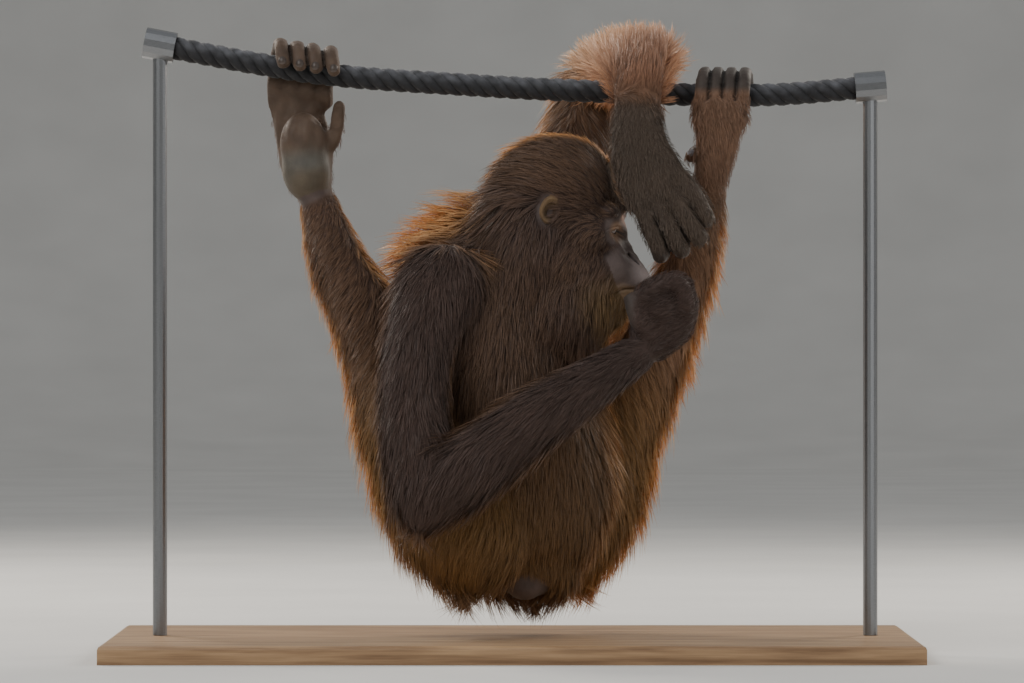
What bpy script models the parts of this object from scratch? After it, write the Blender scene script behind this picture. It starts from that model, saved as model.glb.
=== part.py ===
"""A young orangutan hanging below a short length of rope, life size, on a plain rod stand.

Metres, +Z up, the camera side is -Y. The origin is the middle of the base's underside.
Places and sizes below are in millimetres and pass through mm() once.
"""
import math
import random

import bmesh
import bpy
from mathutils import Matrix, Vector
from mathutils.bvhtree import BVHTree

MM = 0.001
CUT_GAP = 0.42 * MM
MERGE = 0.001
CORE_SHARE = 0.4

# Stand
BASE_LENGTH = 880
BASE_DEPTH = 440
BASE_THICK = 20
BASE_EDGE = 4
ROD_RADIUS = 8
SOCKET_RADIUS = 17
SOCKET_LENGTH = 34
SOCKET_WALL = 6

# Rope perch: the sag of the rope under the animal, from its left end to its right end
ROPE_ROUTE = (
    (-398, 0, 671),
    (-275, 0, 648),
    (-184, 0, 635),
    (-57, 0, 626),
    (75, 0, 619),
    (262, 0, 614),
    (405, 0, 624),
)
STRANDS = 4
STRAND_RADIUS = 5.9
STRAND_OFFSET = 6.8
ROPE_RADIUS = STRAND_RADIUS + STRAND_OFFSET
ROPE_END_RADIUS = 10.8
ROPE_END_LENGTH = 26
ROPE_PITCH = 86
ROPE_RINGS = 58
POINTS_PER_STRAND = 3

# Body. A station is x, y, z, half width, half depth and depth of the coat there.
TORSO = (
    (-2, 2, 452, 54, 46, 14),
    (-13, 4, 411, 92, 62, 18),
    (-15, 2, 350, 100, 76, 12),
    (0, 0, 279, 96, 80, 10),
    (14, -3, 213, 94, 84, 8),
    (18, 0, 150, 86, 76, 12),
    (18, 3, 112, 60, 56, 12),
)
TORSO_SIDE = (0.64, 0.77, 0)
PERINEUM = ((14, -24, 78), (22, 24, 20))
NECK = (
    (0, -6, 396, 66, 60, 8),
    (20, -14, 438, 60, 56, 10),
    (40, -20, 474, 50, 46, 10),
)
THROAT = (((56, -40, 378), (40, 34, 44)), ((70, -40, 404), (36, 30, 36)))
NECK_SIDE = (0.4, 0.9, 0)

RIGHT_THIGH = (
    (-29, -52, 132, 58, 52, 18),
    (-60, -62, 162, 62, 54, 22),
    (-95, -54, 230, 54, 46, 20),
    (-121, -40, 284, 42, 38, 20),
    (-141, -24, 332, 33, 33, 18),
)
RIGHT_SHANK = (
    (-141, -24, 332, 32, 33, 18),
    (-163, -14, 383, 30, 30, 16),
    (-184, -4, 420, 27, 27, 14),
    (-200, 8, 457, 24, 24, 10),
    (-214, 18, 497, 20, 19, 6),
)
LEFT_THIGH = (
    (48, 50, 130, 56, 52, 16),
    (74, 58, 170, 58, 54, 18),
    (104, 60, 245, 48, 46, 18),
    (135, 58, 306, 40, 38, 16),
    (160, 52, 350, 32, 33, 14),
)
LEFT_SHANK = (
    (160, 52, 350, 31, 33, 14),
    (184, 40, 400, 27, 28, 12),
    (199, 26, 444, 24, 25, 10),
    (210, 8, 486, 20, 20, 8),
    (217, -4, 512, 17, 17, 4),
)
LEG_SIDE = (1, 0, 0)

RIGHT_UPPER_ARM = (
    (-72, -66, 408, 46, 44, 10),
    (-88, -92, 382, 40, 40, 12),
    (-102, -112, 330, 34, 35, 12),
    (-105, -132, 259, 32, 33, 14),
    (-94, -150, 184, 32, 32, 20),
)
RIGHT_FOREARM = (
    (-94, -150, 182, 31, 32, 22),
    (-45, -153, 210, 33, 32, 24),
    (30, -149, 264, 29, 28, 18),
    (100, -134, 308, 23, 22, 12),
    (147, -118, 338, 20, 18, 5),
)
LEFT_UPPER_ARM = (
    (40, 62, 446, 42, 40, 10),
    (56, 86, 500, 36, 36, 12),
    (74, 130, 574, 31, 31, 14),
    (94, 172, 634, 29, 29, 18),
)
LEFT_FOREARM = (
    (98, 172, 634, 29, 27, 20),
    (118, 118, 648, 35, 24, 22),
    (134, 50, 650, 37, 21, 24),
    (138, 4, 647, 34, 18, 24),
    (138, -36, 628, 30, 18, 18),
    (136, -54, 590, 26, 17, 6),
)
ARM_SIDE = (1, 0, 0.4)

# Head: a frame at the middle of the skull, forward, to the animal's left and up
SKULL_CENTRE = (55, -22, 509)
HEAD_PITCH = math.radians(20)
HEAD_YAW = math.radians(10)
SKULL = (
    ((0, 0, 0), (60, 50, 57)),
    ((-20, 0, -20), (42, 45, 42)),
    ((54, 0, -28), (30, 34, 30)),
    ((48, 0, -76), (44, 32, 32)),
    ((24, 0, -92), (38, 36, 34)),
    ((92, 0, -67), (36, 28, 25)),
    ((112, 0, -64), (18, 21, 11)),
    ((108, 0, -87), (19, 20, 11)),
    ((92, 0, -102), (22, 20, 16)),
    ((78, 0, -26), (9, 7, 14)),
    ((98, 0, -43), (9, 8, 6)),
    ((87, 0, -37), (10, 8, 10)),
)
SKULL_PAIRS = (
    ((62, 17, -4), (12, 16, 8)),
    ((48, 31, -32), (22, 15, 20)),
    ((44, 27, -70), (36, 18, 30)),
    ((103, 6, -48), (5, 5, 5)),
    ((76, 14, -44), (16, 13, 15)),
    ((84, 20, -62), (24, 14, 20)),
)
HEAD_COAT = 8
EYE_PLACE = (60, 19, -20)
EYE_RADIUS = 10.5
LID_RADIUS = 13.5
EYE_SLIT = ((74, 20, -20), (10, 8.5, 3.6))
NOSTRIL = ((102, 8.5, -45), (6.5, 2.4, 3.4))
MOUTH_LINE = ((136, 0, -71), (128, 16, -72), (112, 27, -79), (94, 36, -91))
MOUTH_DEPTH = 1.8
EAR_PLACE = (-3, 56, -23)
EAR_SIZE = (10, 8, 17)
EAR_CUP = ((-1, 65, -23), (6, 6, 11))

# Hands: a palm, then the digits as centre lines with a root and a tip radius
RIGHT_PALM = (
    (148, -117, 338, 20, 17, 0),
    (160, -112, 362, 34, 24, 0),
    (164, -108, 386, 36, 26, 0),
)
RIGHT_PALM_SIDE = (1, 0.1, -0.3)
RIGHT_FINGERS = 4
RIGHT_FINGER_LINE = ((188, 380), (180, 402), (160, 400), (142, 392), (130, 378))
RIGHT_FINGER_NEAR_Y = -132
RIGHT_FINGER_STEP = 16
RIGHT_THUMB = ((146, -130, 350), (134, -136, 368), (128, -128, 390))
LEFT_PALM = (
    (136, -56, 588, 26, 17, 0),
    (140, -62, 552, 32, 17, 0),
    (151, -66, 520, 38, 15, 0),
    (160, -66, 500, 36, 12, 0),
)
LEFT_PALM_SIDE = (1, 0, 0.35)
LEFT_FINGERS = (
    ((140, -64, 500), (150, -72, 468), (158, -72, 450), (162, -65, 436)),
    ((156, -66, 497), (170, -75, 470), (178, -74, 452), (186, -66, 442)),
    ((172, -67, 508), (186, -75, 484), (198, -73, 464), (205, -66, 456)),
    ((185, -66, 519), (199, -72, 499), (208, -70, 484), (211, -62, 476)),
)
LEFT_THUMB = ((116, -46, 538), (113, -40, 512), (121, -40, 490))
FINGER_RADIUS = 10.5
FINGER_TIP = 8
LEFT_FINGER_RADIUS = 11.5
LEFT_FINGER_TIP = 9.6
FIST_FILL = ((158, -108, 384), (28, 27, 19))

# Feet: a sole, then toes that go round the rope
RIGHT_SOLE = (
    (-218, 20, 508, 20, 18, 0),
    (-226, 24, 536, 29, 20, 0),
    (-229, 27, 560, 31, 15, 0),
    (-237, 29, 594, 29, 12, 0),
    (-245, 28, 618, 28, 10, 0),
)
RIGHT_HEEL = ((-227, 6, 530), (27, 20, 33))
RIGHT_TOES_X = (-262, -243, -226, -206)
RIGHT_HALLUX = ((-212, 22, 549), (-196, 14, 568), (-190, 4, 602))
LEFT_SOLE = (
    (217, -4, 512, 17, 16, 0),
    (223, -18, 548, 22, 14, 0),
    (227, -27, 582, 26, 12, 0),
    (229, -29, 604, 27, 10, 0),
)
LEFT_HEEL = ((216, 8, 516), (17, 18, 18))
LEFT_TOES_X = (206, 220, 235, 250)
LEFT_HALLUX = ((236, -8, 556), (218, 6, 552), (196, 2, 547))
FOOT_SIDE = (1, 0, 0.1)
TOE_RADIUS = 8.5
TOE_TIP = 7
TOE_TURN = math.radians(215)
TOE_START = math.radians(-40)

# Colours of the nodes, and how rough they are
COAT_DARK = (0.055, 0.034, 0.024, 1)
COAT_RED = (0.26, 0.105, 0.04, 1)
COAT_OLIVE = (0.17, 0.085, 0.022, 1)
SKIN_DARK = (0.06, 0.047, 0.043, 1)
SKIN_SOLE = (0.12, 0.1, 0.085, 1)
EYE_BROWN = (0.03, 0.012, 0.006, 1)
ROPE_GREY = (0.028, 0.029, 0.032, 1)
STAND_METAL = (0.25, 0.25, 0.26, 1)
STAND_WOOD = (0.5, 0.42, 0.33, 1)

SIDES = 10
DIGIT_SIDES = 6

# Locks: wide flat tufts of the coat. Each node's row holds the way that its hair lies (for a
# limb, toward one of its ends), the length and the standing height of its locks.
LOCK_SEED = 7
LOCK_WIDTH = 19
LOCK_THICK = 7
LOCK_SINK = 7
LOCK_SHARES = (0.33, 0.72, 1.0)
LOCK_RISE = (0.4, 0.85, 1.15)
LOCK_TAPER = (1.0, 0.72)
LOCK_CLEAR = 0.45
LOCK_LIFTS = (1.0, 1.35, 1.7)
OPEN_AIR = 34
BARE_FACE = 18

# The fringe off the left elbow: points in the air near which each lock is rooted
FRINGE_REACH = 36
FRINGE = ((70, 240, 628), (88, 240, 612), (90, 240, 648), (112, 236, 630), (104, 232, 664))
DOWN = (0, 0, -1)
COATS = {
    "torso": (DOWN, 84, 16, 49),
    "neck": (DOWN, 66, 18, 50),
    "head": ((-0.8, 0, 0.1), 48, 13, 34),
    "upper_arm_right": (DOWN, 80, 14, 42),
    "forearm_right": ((-0.75, 0, -0.75), 80, 18, 42),
    "upper_arm_left": ((0, 0.3, -1), 72, 14, 52),
    "forearm_left": ((0.15, 1, 0.1), 60, 20, 45),
    "thigh_right": ((-0.35, 0, -1), 88, 24, 46),
    "shank_right": ((-0.6, 0, -1), 74, 26, 38),
    "thigh_left": ((0.35, 0, -1), 88, 22, 46),
    "shank_left": ((0.4, 0, -1), 66, 18, 38),
}


def mm(values):
    """A place or a size in millimetres as a vector in metres."""
    return Vector(values) * MM


def clear_scene():
    """Remove whatever the file starts with."""
    for old in list(bpy.data.objects):
        bpy.data.objects.remove(old, do_unlink=True)


def material(name, colour, roughness, metallic=0.0):
    """A Principled material of one colour."""
    made = bpy.data.materials.new(name)
    made.use_nodes = True
    shader = made.node_tree.nodes["Principled BSDF"]
    shader.inputs["Base Color"].default_value = colour
    shader.inputs["Roughness"].default_value = roughness
    shader.inputs["Metallic"].default_value = metallic
    made.diffuse_color = colour
    return made


def object_from(bm, name):
    """Turn a bmesh into a linked object with its faces pointing out."""
    bmesh.ops.recalc_face_normals(bm, faces=bm.faces)
    mesh = bpy.data.meshes.new(name)
    bm.to_mesh(mesh)
    bm.free()
    made = bpy.data.objects.new(name, mesh)
    bpy.context.scene.collection.objects.link(made)
    return made


def discard(things):
    """Remove helper objects."""
    for thing in things:
        bpy.data.objects.remove(thing, do_unlink=True)


def apply_modifiers(body):
    """Keep an object's evaluated mesh and drop its modifiers."""
    graph = bpy.context.evaluated_depsgraph_get()
    mesh = bpy.data.meshes.new_from_object(body.evaluated_get(graph))
    body.modifiers.clear()
    body.data = mesh


def all_shared(bm):
    """Whether each edge joins just two faces."""
    return bool(bm.faces) and all(len(edge.link_faces) == 2 for edge in bm.edges)


def in_triangles(mesh):
    """A mesh in triangles, split in the first way that draws no edge twice."""
    for quads, polygons in (("BEAUTY", "BEAUTY"), ("SHORT_EDGE", "EAR_CLIP"), ("LONG_EDGE", "EAR_CLIP"),
                            ("FIXED", "BEAUTY"), ("ALTERNATE", "EAR_CLIP")):
        bm = bmesh.new()
        bm.from_mesh(mesh)
        bmesh.ops.remove_doubles(bm, verts=bm.verts, dist=MERGE * MM)
        bmesh.ops.triangulate(bm, faces=bm.faces, quad_method=quads, ngon_method=polygons)
        if all_shared(bm):
            break
    return bm


def keep_largest(body):
    """Keep only the closed surface that holds the most."""
    bm = in_triangles(body.data)
    unseen = set(bm.faces)
    best = []
    best_volume = 0.0
    while unseen:
        stack = [unseen.pop()]
        group = []
        while stack:
            face = stack.pop()
            group.append(face)
            pairs = (edge.link_faces for edge in face.edges if len(edge.link_faces) == 2)
            for other in {near for pair in pairs for near in pair} & unseen:
                unseen.remove(other)
                stack.append(other)
        volume = abs(sum(f.verts[0].co.dot(f.verts[1].co.cross(f.verts[2].co)) for f in group))
        if volume > best_volume:
            best_volume = volume
            best = group
    kept = set(best)
    scraps = [face for face in bm.faces if face not in kept]
    bmesh.ops.delete(bm, geom=scraps, context="FACES")
    loose = [vert for vert in bm.verts if not vert.link_faces]
    bmesh.ops.delete(bm, geom=loose, context="VERTS")
    bm.to_mesh(body.data)
    bm.free()


def is_closed(body):
    """Whether a body's surface is closed and touches itself nowhere."""
    bm = bmesh.new()
    bm.from_mesh(body.data)
    closed = all_shared(bm)
    bm.free()
    return closed


def boolean(body, others, operation):
    """Fuse pieces into a body, or cut them out of it, in one step."""
    group = bpy.data.collections.new("operands")
    for other in others:
        group.objects.link(other)
    before = body.data
    for solver in ("EXACT", "MANIFOLD"):
        body.data = before
        step = body.modifiers.new(operation, "BOOLEAN")
        step.operation = operation
        step.solver = solver
        step.operand_type = "COLLECTION"
        step.collection = group
        apply_modifiers(body)
        if is_closed(body):
            break
    discard(others)
    bpy.data.collections.remove(group)
    keep_largest(body)


def smooth_line(points, count):
    """Evenly numbered points on a Catmull-Rom curve through the given ones."""
    ends = [points[0] * 2 - points[1]] + list(points) + [points[-1] * 2 - points[-2]]
    spans = len(points) - 1
    line = []
    for step in range(count):
        place = step * spans / (count - 1)
        index = min(int(place), spans - 1)
        t = place - index
        a, b, c, d = ends[index : index + 4]
        bend = (-a + 3 * b - 3 * c + d) * t ** 3 + (2 * a - 5 * b + 4 * c - d) * t ** 2
        line.append((bend + (c - a) * t + 2 * b) / 2)
    return line


def tangents(line):
    """The direction of a line at each of its points."""
    last = len(line) - 1
    return [(line[min(i + 1, last)] - line[max(i - 1, 0)]).normalized() for i in range(len(line))]


def oval(bm, centre, along, side, half_wide, half_deep, sides):
    """One ring of vertices across a line."""
    wide = (side - along * side.dot(along)).normalized()
    deep = along.cross(wide)
    ring = []
    for step in range(sides):
        angle = math.tau * step / sides
        reach = wide * math.cos(angle) * half_wide + deep * math.sin(angle) * half_deep
        ring.append(bm.verts.new(centre + reach))
    return ring


def skin_rings(bm, rings, start, end):
    """Bridge rings of equal size and close both ends on a point."""
    for low, high in zip(rings, rings[1:]):
        for step in range(len(low)):
            after = (step + 1) % len(low)
            bm.faces.new((low[step], low[after], high[after]))
            bm.faces.new((low[step], high[after], high[step]))
    for ring, place in ((rings[0], start), (rings[-1], end)):
        pole = bm.verts.new(place)
        for step in range(len(ring)):
            bm.faces.new((ring[step], ring[(step + 1) % len(ring)], pole))


def loft(name, line, widths, depths, side, sides):
    """A closed tube of oval rings along a line, with domed ends."""
    bm = bmesh.new()
    ways = tangents(line)
    rings = []
    dome = 0.55
    shrink = 0.8
    size = min(widths[0], depths[0])
    rings.append(
        oval(bm, line[0] - ways[0] * size * dome, ways[0], side, widths[0] * shrink,
             depths[0] * shrink, sides)
    )
    for place, way, wide, deep in zip(line, ways, widths, depths):
        rings.append(oval(bm, place, way, side, wide, deep, sides))
    last = min(widths[-1], depths[-1])
    rings.append(
        oval(bm, line[-1] + ways[-1] * last * dome, ways[-1], side, widths[-1] * shrink,
             depths[-1] * shrink, sides)
    )
    pole = 0.9
    skin_rings(bm, rings, line[0] - ways[0] * size * pole, line[-1] + ways[-1] * last * pole)
    return object_from(bm, name)


def limb(name, stations, side, sides=SIDES):
    """A length of body from its stations, with its share of the coat."""
    line = [mm(station[:3]) for station in stations]
    widths = [(station[3] + station[5] * CORE_SHARE) * MM for station in stations]
    depths = [(station[4] + station[5] * CORE_SHARE) * MM for station in stations]
    return loft(name, line, widths, depths, Vector(side), sides)


def digit(points, root, tip, rings=5):
    """A finger or toe that tapers along a curve."""
    line = smooth_line([mm(point) for point in points], rings)
    sizes = [(root + (tip - root) * step / (rings - 1)) * MM for step in range(rings)]
    return loft("digit", line, sizes, sizes, Vector((0.3, 0.2, 1)), DIGIT_SIDES)


def ball(name, place, radii, turn=None, segments=16, rings=10):
    """An ellipsoid at a place, turned with a frame."""
    bm = bmesh.new()
    bmesh.ops.create_uvsphere(bm, u_segments=segments, v_segments=rings, radius=1)
    scale = Matrix.Diagonal(Vector(radii).to_4d())
    frame = Matrix.Translation(place) @ (turn or Matrix.Identity(4)) @ scale
    bmesh.ops.transform(bm, matrix=frame, verts=bm.verts)
    bmesh.ops.triangulate(bm, faces=bm.faces)
    return object_from(bm, name)


def melt(name, forms, voxel, triangles):
    """Melt overlapping closed forms into one smooth solid of about so many triangles."""
    bm = bmesh.new()
    for form in forms:
        bm.from_mesh(form.data)
    discard(forms)
    body = object_from(bm, name)
    remesh = body.modifiers.new("melt", "REMESH")
    remesh.mode = "VOXEL"
    remesh.voxel_size = voxel * MM
    smooth = body.modifiers.new("smooth", "SMOOTH")
    smooth.factor = 0.5
    smooth.iterations = 4
    apply_modifiers(body)
    keep_largest(body)
    thin = body.modifiers.new("thin", "DECIMATE")
    thin.ratio = min(1.0, triangles / len(body.data.polygons))
    thin.use_collapse_triangulate = True
    apply_modifiers(body)
    keep_largest(body)
    return body


def tree_of(body):
    """A search tree over an object's faces."""
    bm = bmesh.new()
    bm.from_mesh(body.data)
    tree = BVHTree.FromBMesh(bm)
    bm.free()
    return tree


def mould_of(body):
    """A copy of a body grown by the gap, which cuts the nodes that meet it."""
    bm = bmesh.new()
    bm.from_mesh(body.data)
    bm.normal_update()
    moves = [vert.normal * CUT_GAP * min(vert.calc_shell_factor(), 1.5) for vert in bm.verts]
    for vert, move in zip(bm.verts, moves):
        vert.co += move
    mould = object_from(bm, body.name + "_mould")
    mould.hide_render = True
    mould.display_type = "WIRE"
    return mould


def copy_of(body):
    """A linked copy with its own mesh."""
    copy = body.copy()
    copy.data = body.data.copy()
    bpy.context.scene.collection.objects.link(copy)
    return copy


def part_from(body, moulds):
    """Cut a body along the surfaces of the neighbours it grows from or rests on."""
    for mould in moulds:
        if tree_of(body).overlap(tree_of(mould)):
            boolean(body, [copy_of(mould)], "DIFFERENCE")


def rope_line(count):
    """Points on the middle of the rope."""
    return smooth_line([mm(point) for point in ROPE_ROUTE], count)


def rope_at(x):
    """The middle of the rope at one place along it."""
    line = rope_line(200)
    return min(line, key=lambda point: abs(point.x - x * MM))


def strand_reach(angle):
    """How far the twisted rope reaches at an angle from the top of a strand."""
    rise = (STRAND_OFFSET * math.sin(angle)) ** 2
    return STRAND_OFFSET * math.cos(angle) + math.sqrt(STRAND_RADIUS ** 2 - rise)


def build_rope():
    """The perch: four strands laid round each other, with plain whipped ends."""
    bm = bmesh.new()
    line = rope_line(ROPE_RINGS)
    ways = tangents(line)
    points = STRANDS * POINTS_PER_STRAND
    length = (line[-1] - line[0]).length
    rings = []
    for place, way in zip(line, ways):
        near = Vector((0, -1, 0))
        top = near.cross(way)
        travelled = (place - line[0]).length
        turn = math.tau * travelled / (ROPE_PITCH * MM)
        bare = min(travelled, length - travelled) < ROPE_END_LENGTH * MM
        ring = []
        for step in range(points):
            offset = (step % POINTS_PER_STRAND) - POINTS_PER_STRAND // 2
            angle = math.tau * step / points
            reach = strand_reach(offset * math.tau / points)
            if bare:
                reach = ROPE_END_RADIUS
            spin = angle + turn
            ring.append(bm.verts.new(place + (top * math.cos(spin) + near * math.sin(spin)) * reach * MM))
        rings.append(ring)
    skin_rings(bm, rings, line[0], line[-1])
    return object_from(bm, "perch_rope")


def build_sheath():
    """A plain tube just outside the rope, which cuts the hands and feet that hold it."""
    line = rope_line(22)
    size = [(ROPE_RADIUS + 0.6) * MM] * len(line)
    return loft("rope_sheath", line, size, size, Vector((0, 1, 0)), 12)


def build_base():
    """The flat base, with its upper edges broken."""
    bm = bmesh.new()
    bmesh.ops.create_cube(bm, size=1)
    size = Vector((BASE_LENGTH, BASE_DEPTH, BASE_THICK)) * MM
    bmesh.ops.transform(bm, matrix=Matrix.Diagonal(size.to_4d()), verts=bm.verts)
    bmesh.ops.translate(bm, vec=(0, 0, size.z / 2), verts=bm.verts)
    edges = [edge for edge in bm.edges if all(vert.co.z > size.z / 2 for vert in edge.verts)]
    bmesh.ops.bevel(bm, geom=edges, offset=BASE_EDGE * MM, segments=2, affect="EDGES", profile=0.5)
    bmesh.ops.triangulate(bm, faces=bm.faces)
    return object_from(bm, "stand_base")


def cylinder(name, start, end, radius, sides=14):
    """A plain round bar between two points."""
    bm = bmesh.new()
    along = end - start
    bmesh.ops.create_cone(
        bm, cap_ends=True, segments=sides, radius1=radius, radius2=radius, depth=along.length
    )
    turn = along.to_track_quat("Z", "Y").to_matrix().to_4x4()
    bmesh.ops.transform(bm, matrix=Matrix.Translation((start + end) / 2) @ turn, verts=bm.verts)
    bmesh.ops.triangulate(bm, faces=bm.faces)
    return object_from(bm, name)


def build_rod(name, end_index):
    """An upright rod with a socket on top that holds one end of the rope."""
    line = rope_line(ROPE_RINGS)
    end = line[end_index]
    inward = (line[end_index + (3 if end_index == 0 else -3)] - end).normalized()
    back = end - inward * SOCKET_WALL * MM
    front = back + inward * SOCKET_LENGTH * MM
    foot = Vector((((back + front) / 2).x, 0, (BASE_THICK + 0.3) * MM))
    rod = cylinder(name, foot, Vector((foot.x, 0, ((back + front) / 2).z)), ROD_RADIUS * MM)
    socket = cylinder("socket", back, front, SOCKET_RADIUS * MM)
    boolean(rod, [socket], "UNION")
    bore = cylinder("bore", end - inward * 0.4 * MM, front + inward * 10 * MM,
                    (ROPE_RADIUS + 0.5) * MM)
    boolean(rod, [bore], "DIFFERENCE")
    return rod


def head_frame():
    """The head's own frame: x forward, y to the animal's left, z up."""
    turn = Matrix.Rotation(-HEAD_YAW, 4, "Z") @ Matrix.Rotation(HEAD_PITCH, 4, "Y")
    return Matrix.Translation(mm(SKULL_CENTRE)) @ turn


def in_head(place):
    """A place in the head's frame, in the world."""
    return head_frame() @ mm(place)


def head_ball(name, place, radii, grow=0.0, segments=16, rings=10):
    """An ellipsoid set in the head's frame."""
    turn = head_frame().to_3x3().to_4x4()
    sizes = [(radius + grow) * MM for radius in radii]
    return ball(name, in_head(place), sizes, turn, segments, rings)


def mirrored(place, side):
    """A place on the left of the head, or its mirror on the right."""
    return (place[0], place[1] * side, place[2])


def build_head():
    """Skull, brows, muzzle, lips and jaw melted into one."""
    forms = [head_ball("form", place, radii) for place, radii in SKULL]
    scalp = HEAD_COAT * CORE_SHARE
    forms += [head_ball("form", place, radii, scalp) for place, radii in SKULL[:2]]
    for side in (-1, 1):
        forms += [head_ball("form", mirrored(place, side), radii) for place, radii in SKULL_PAIRS]
        forms.append(head_ball("form", mirrored(EYE_PLACE, side), (LID_RADIUS,) * 3))
    return melt("head", forms, 3.5, 860)


def carve_face(head):
    """Cut the eye sockets between their lids, the nostrils and the line of the mouth."""
    for side in (-1, 1):
        socket = head_ball("socket", mirrored(EYE_PLACE, side), (EYE_RADIUS + 0.4,) * 3, 0, 8, 6)
        boolean(socket, [head_ball("slit", mirrored(EYE_SLIT[0], side), EYE_SLIT[1], 0, 8, 4)], "UNION")
        boolean(head, [socket], "DIFFERENCE")
        nostril = head_ball("nostril", mirrored(NOSTRIL[0], side), NOSTRIL[1], 0, 6, 4)
        boolean(head, [nostril], "DIFFERENCE")
    surface = tree_of(head)
    rim = []
    for side in (-1, 1):
        for place in MOUTH_LINE:
            found = surface.find_nearest(in_head(mirrored(place, side)))[0]
            rim.append((side * place[1], found))
    rim.sort(key=lambda pair: pair[0])
    line = [found for across, found in rim]
    line = [point for index, point in enumerate(line) if index == 0 or (point - line[index - 1]).length > MM]
    groove = smooth_line(line, 9)
    size = [MOUTH_DEPTH * MM] * len(groove)
    boolean(head, [loft("groove", groove, size, size, head_frame().to_3x3() @ Vector((0, 0, 1)), 6)],
            "DIFFERENCE")


def build_ear(name, side):
    """An ear as a small oval disc on the side of the head."""
    return head_ball(name, mirrored(EAR_PLACE, side), EAR_SIZE, 0, 8, 6)


def carve_ear(ear):
    """Hollow the cup of an ear, which leaves its rim."""
    side = -1 if ear.name == "ear_right" else 1
    boolean(ear, [head_ball("cup", mirrored(EAR_CUP[0], side), EAR_CUP[1], 0, 7, 4)], "DIFFERENCE")


def build_right_hand():
    """The fist held to the mouth: four fingers fold over from the knuckles."""
    hand = limb("hand_right", RIGHT_PALM, RIGHT_PALM_SIDE, 8)
    digits = []
    for index in range(RIGHT_FINGERS):
        y = RIGHT_FINGER_NEAR_Y + RIGHT_FINGER_STEP * index
        lift = (2, 5, 3, 0)[index]
        points = [(x, y, z + lift) for x, z in RIGHT_FINGER_LINE]
        digits.append(digit(points, FINGER_RADIUS, FINGER_TIP, 6))
    digits.append(digit(RIGHT_THUMB, FINGER_RADIUS, FINGER_TIP))
    digits.append(ball("fold", mm(FIST_FILL[0]), mm(FIST_FILL[1]), None, 10, 6))
    boolean(hand, digits, "UNION")
    return hand


def build_left_hand():
    """The hand that hangs in front of the rope, its fingers a little bent."""
    hand = limb("hand_left", LEFT_PALM, LEFT_PALM_SIDE, 8)
    digits = [digit(line, LEFT_FINGER_RADIUS, LEFT_FINGER_TIP) for line in LEFT_FINGERS]
    digits.append(digit(LEFT_THUMB, FINGER_RADIUS, FINGER_TIP))
    boolean(hand, digits, "UNION")
    return hand


def toe_line(x, from_behind):
    """A toe's curve round the rope, from the sole's side over the top."""
    middle = rope_at(x) / MM
    reach = ROPE_RADIUS + TOE_RADIUS + 2.2
    side = 1 if from_behind else -1
    points = [(x, side * 27, middle.z - 30)]
    for step in range(6):
        angle = TOE_START + TOE_TURN * step / 5
        points.append((x + step * 1.2, side * reach * math.cos(angle), middle.z + reach * math.sin(angle)))
    return points


def build_foot(name, sole, heel, toes, hallux, from_behind):
    """A foot that grips the rope: long toes over the top, the short first toe apart."""
    foot = limb(name, sole, FOOT_SIDE, 8)
    digits = [ball("heel", mm(heel[0]), mm(heel[1]), None, 10, 6)]
    digits += [digit(toe_line(x, from_behind), TOE_RADIUS, TOE_TIP) for x in toes]
    digits.append(digit(hallux, TOE_RADIUS, TOE_TIP))
    boolean(foot, digits, "UNION")
    return foot


def build_torso():
    """Chest, belly and pelvis in one, with the bare bulge below."""
    forms = [limb("trunk", TORSO, TORSO_SIDE, 24)]
    forms.append(ball("perineum", mm(PERINEUM[0]), mm(PERINEUM[1])))
    return melt("torso", forms, 6, 500)


def build_neck():
    """The neck and the full throat below the jaw."""
    forms = [limb("column", NECK, NECK_SIDE, 24)]
    forms += [ball("throat", mm(place), mm(radii)) for place, radii in THROAT]
    return melt("neck", forms, 6, 220)


def finish(body, colour, roughness=0.8, metallic=0.0):
    """Give a node its own material and smooth shading."""
    body.data.materials.clear()
    body.data.materials.append(material(body.name, colour, roughness, metallic))
    body.data.shade_smooth()
    body.data.set_sharp_from_angle(angle=math.radians(40))


def node_steps():
    """The nodes of flesh in the order that they are cut from each other."""
    return (
        (build_torso, None, COAT_OLIVE),
        (lambda: limb("thigh_right", RIGHT_THIGH, LEG_SIDE), None, COAT_OLIVE),
        (lambda: limb("thigh_left", LEFT_THIGH, LEG_SIDE), None, COAT_OLIVE),
        (lambda: limb("shank_right", RIGHT_SHANK, LEG_SIDE), None, COAT_RED),
        (lambda: limb("shank_left", LEFT_SHANK, LEG_SIDE), None, COAT_RED),
        (lambda: build_foot("foot_right", RIGHT_SOLE, RIGHT_HEEL, RIGHT_TOES_X, RIGHT_HALLUX, True),
         None, SKIN_SOLE),
        (lambda: build_foot("foot_left", LEFT_SOLE, LEFT_HEEL, LEFT_TOES_X, LEFT_HALLUX, False),
         None, SKIN_DARK),
        (build_head, carve_face, COAT_DARK),
        (lambda: build_ear("ear_right", -1), carve_ear, SKIN_SOLE),
        (lambda: build_ear("ear_left", 1), carve_ear, SKIN_SOLE),
        (build_neck, None, COAT_DARK),
        (lambda: limb("upper_arm_right", RIGHT_UPPER_ARM, ARM_SIDE), None, COAT_DARK),
        (lambda: limb("forearm_right", RIGHT_FOREARM, ARM_SIDE), None, COAT_DARK),
        (build_right_hand, None, SKIN_DARK),
        (lambda: limb("upper_arm_left", LEFT_UPPER_ARM, ARM_SIDE), None, COAT_DARK),
        (lambda: limb("forearm_left", LEFT_FOREARM, ARM_SIDE), None, COAT_RED),
        (build_left_hand, None, SKIN_DARK),
    )


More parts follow.
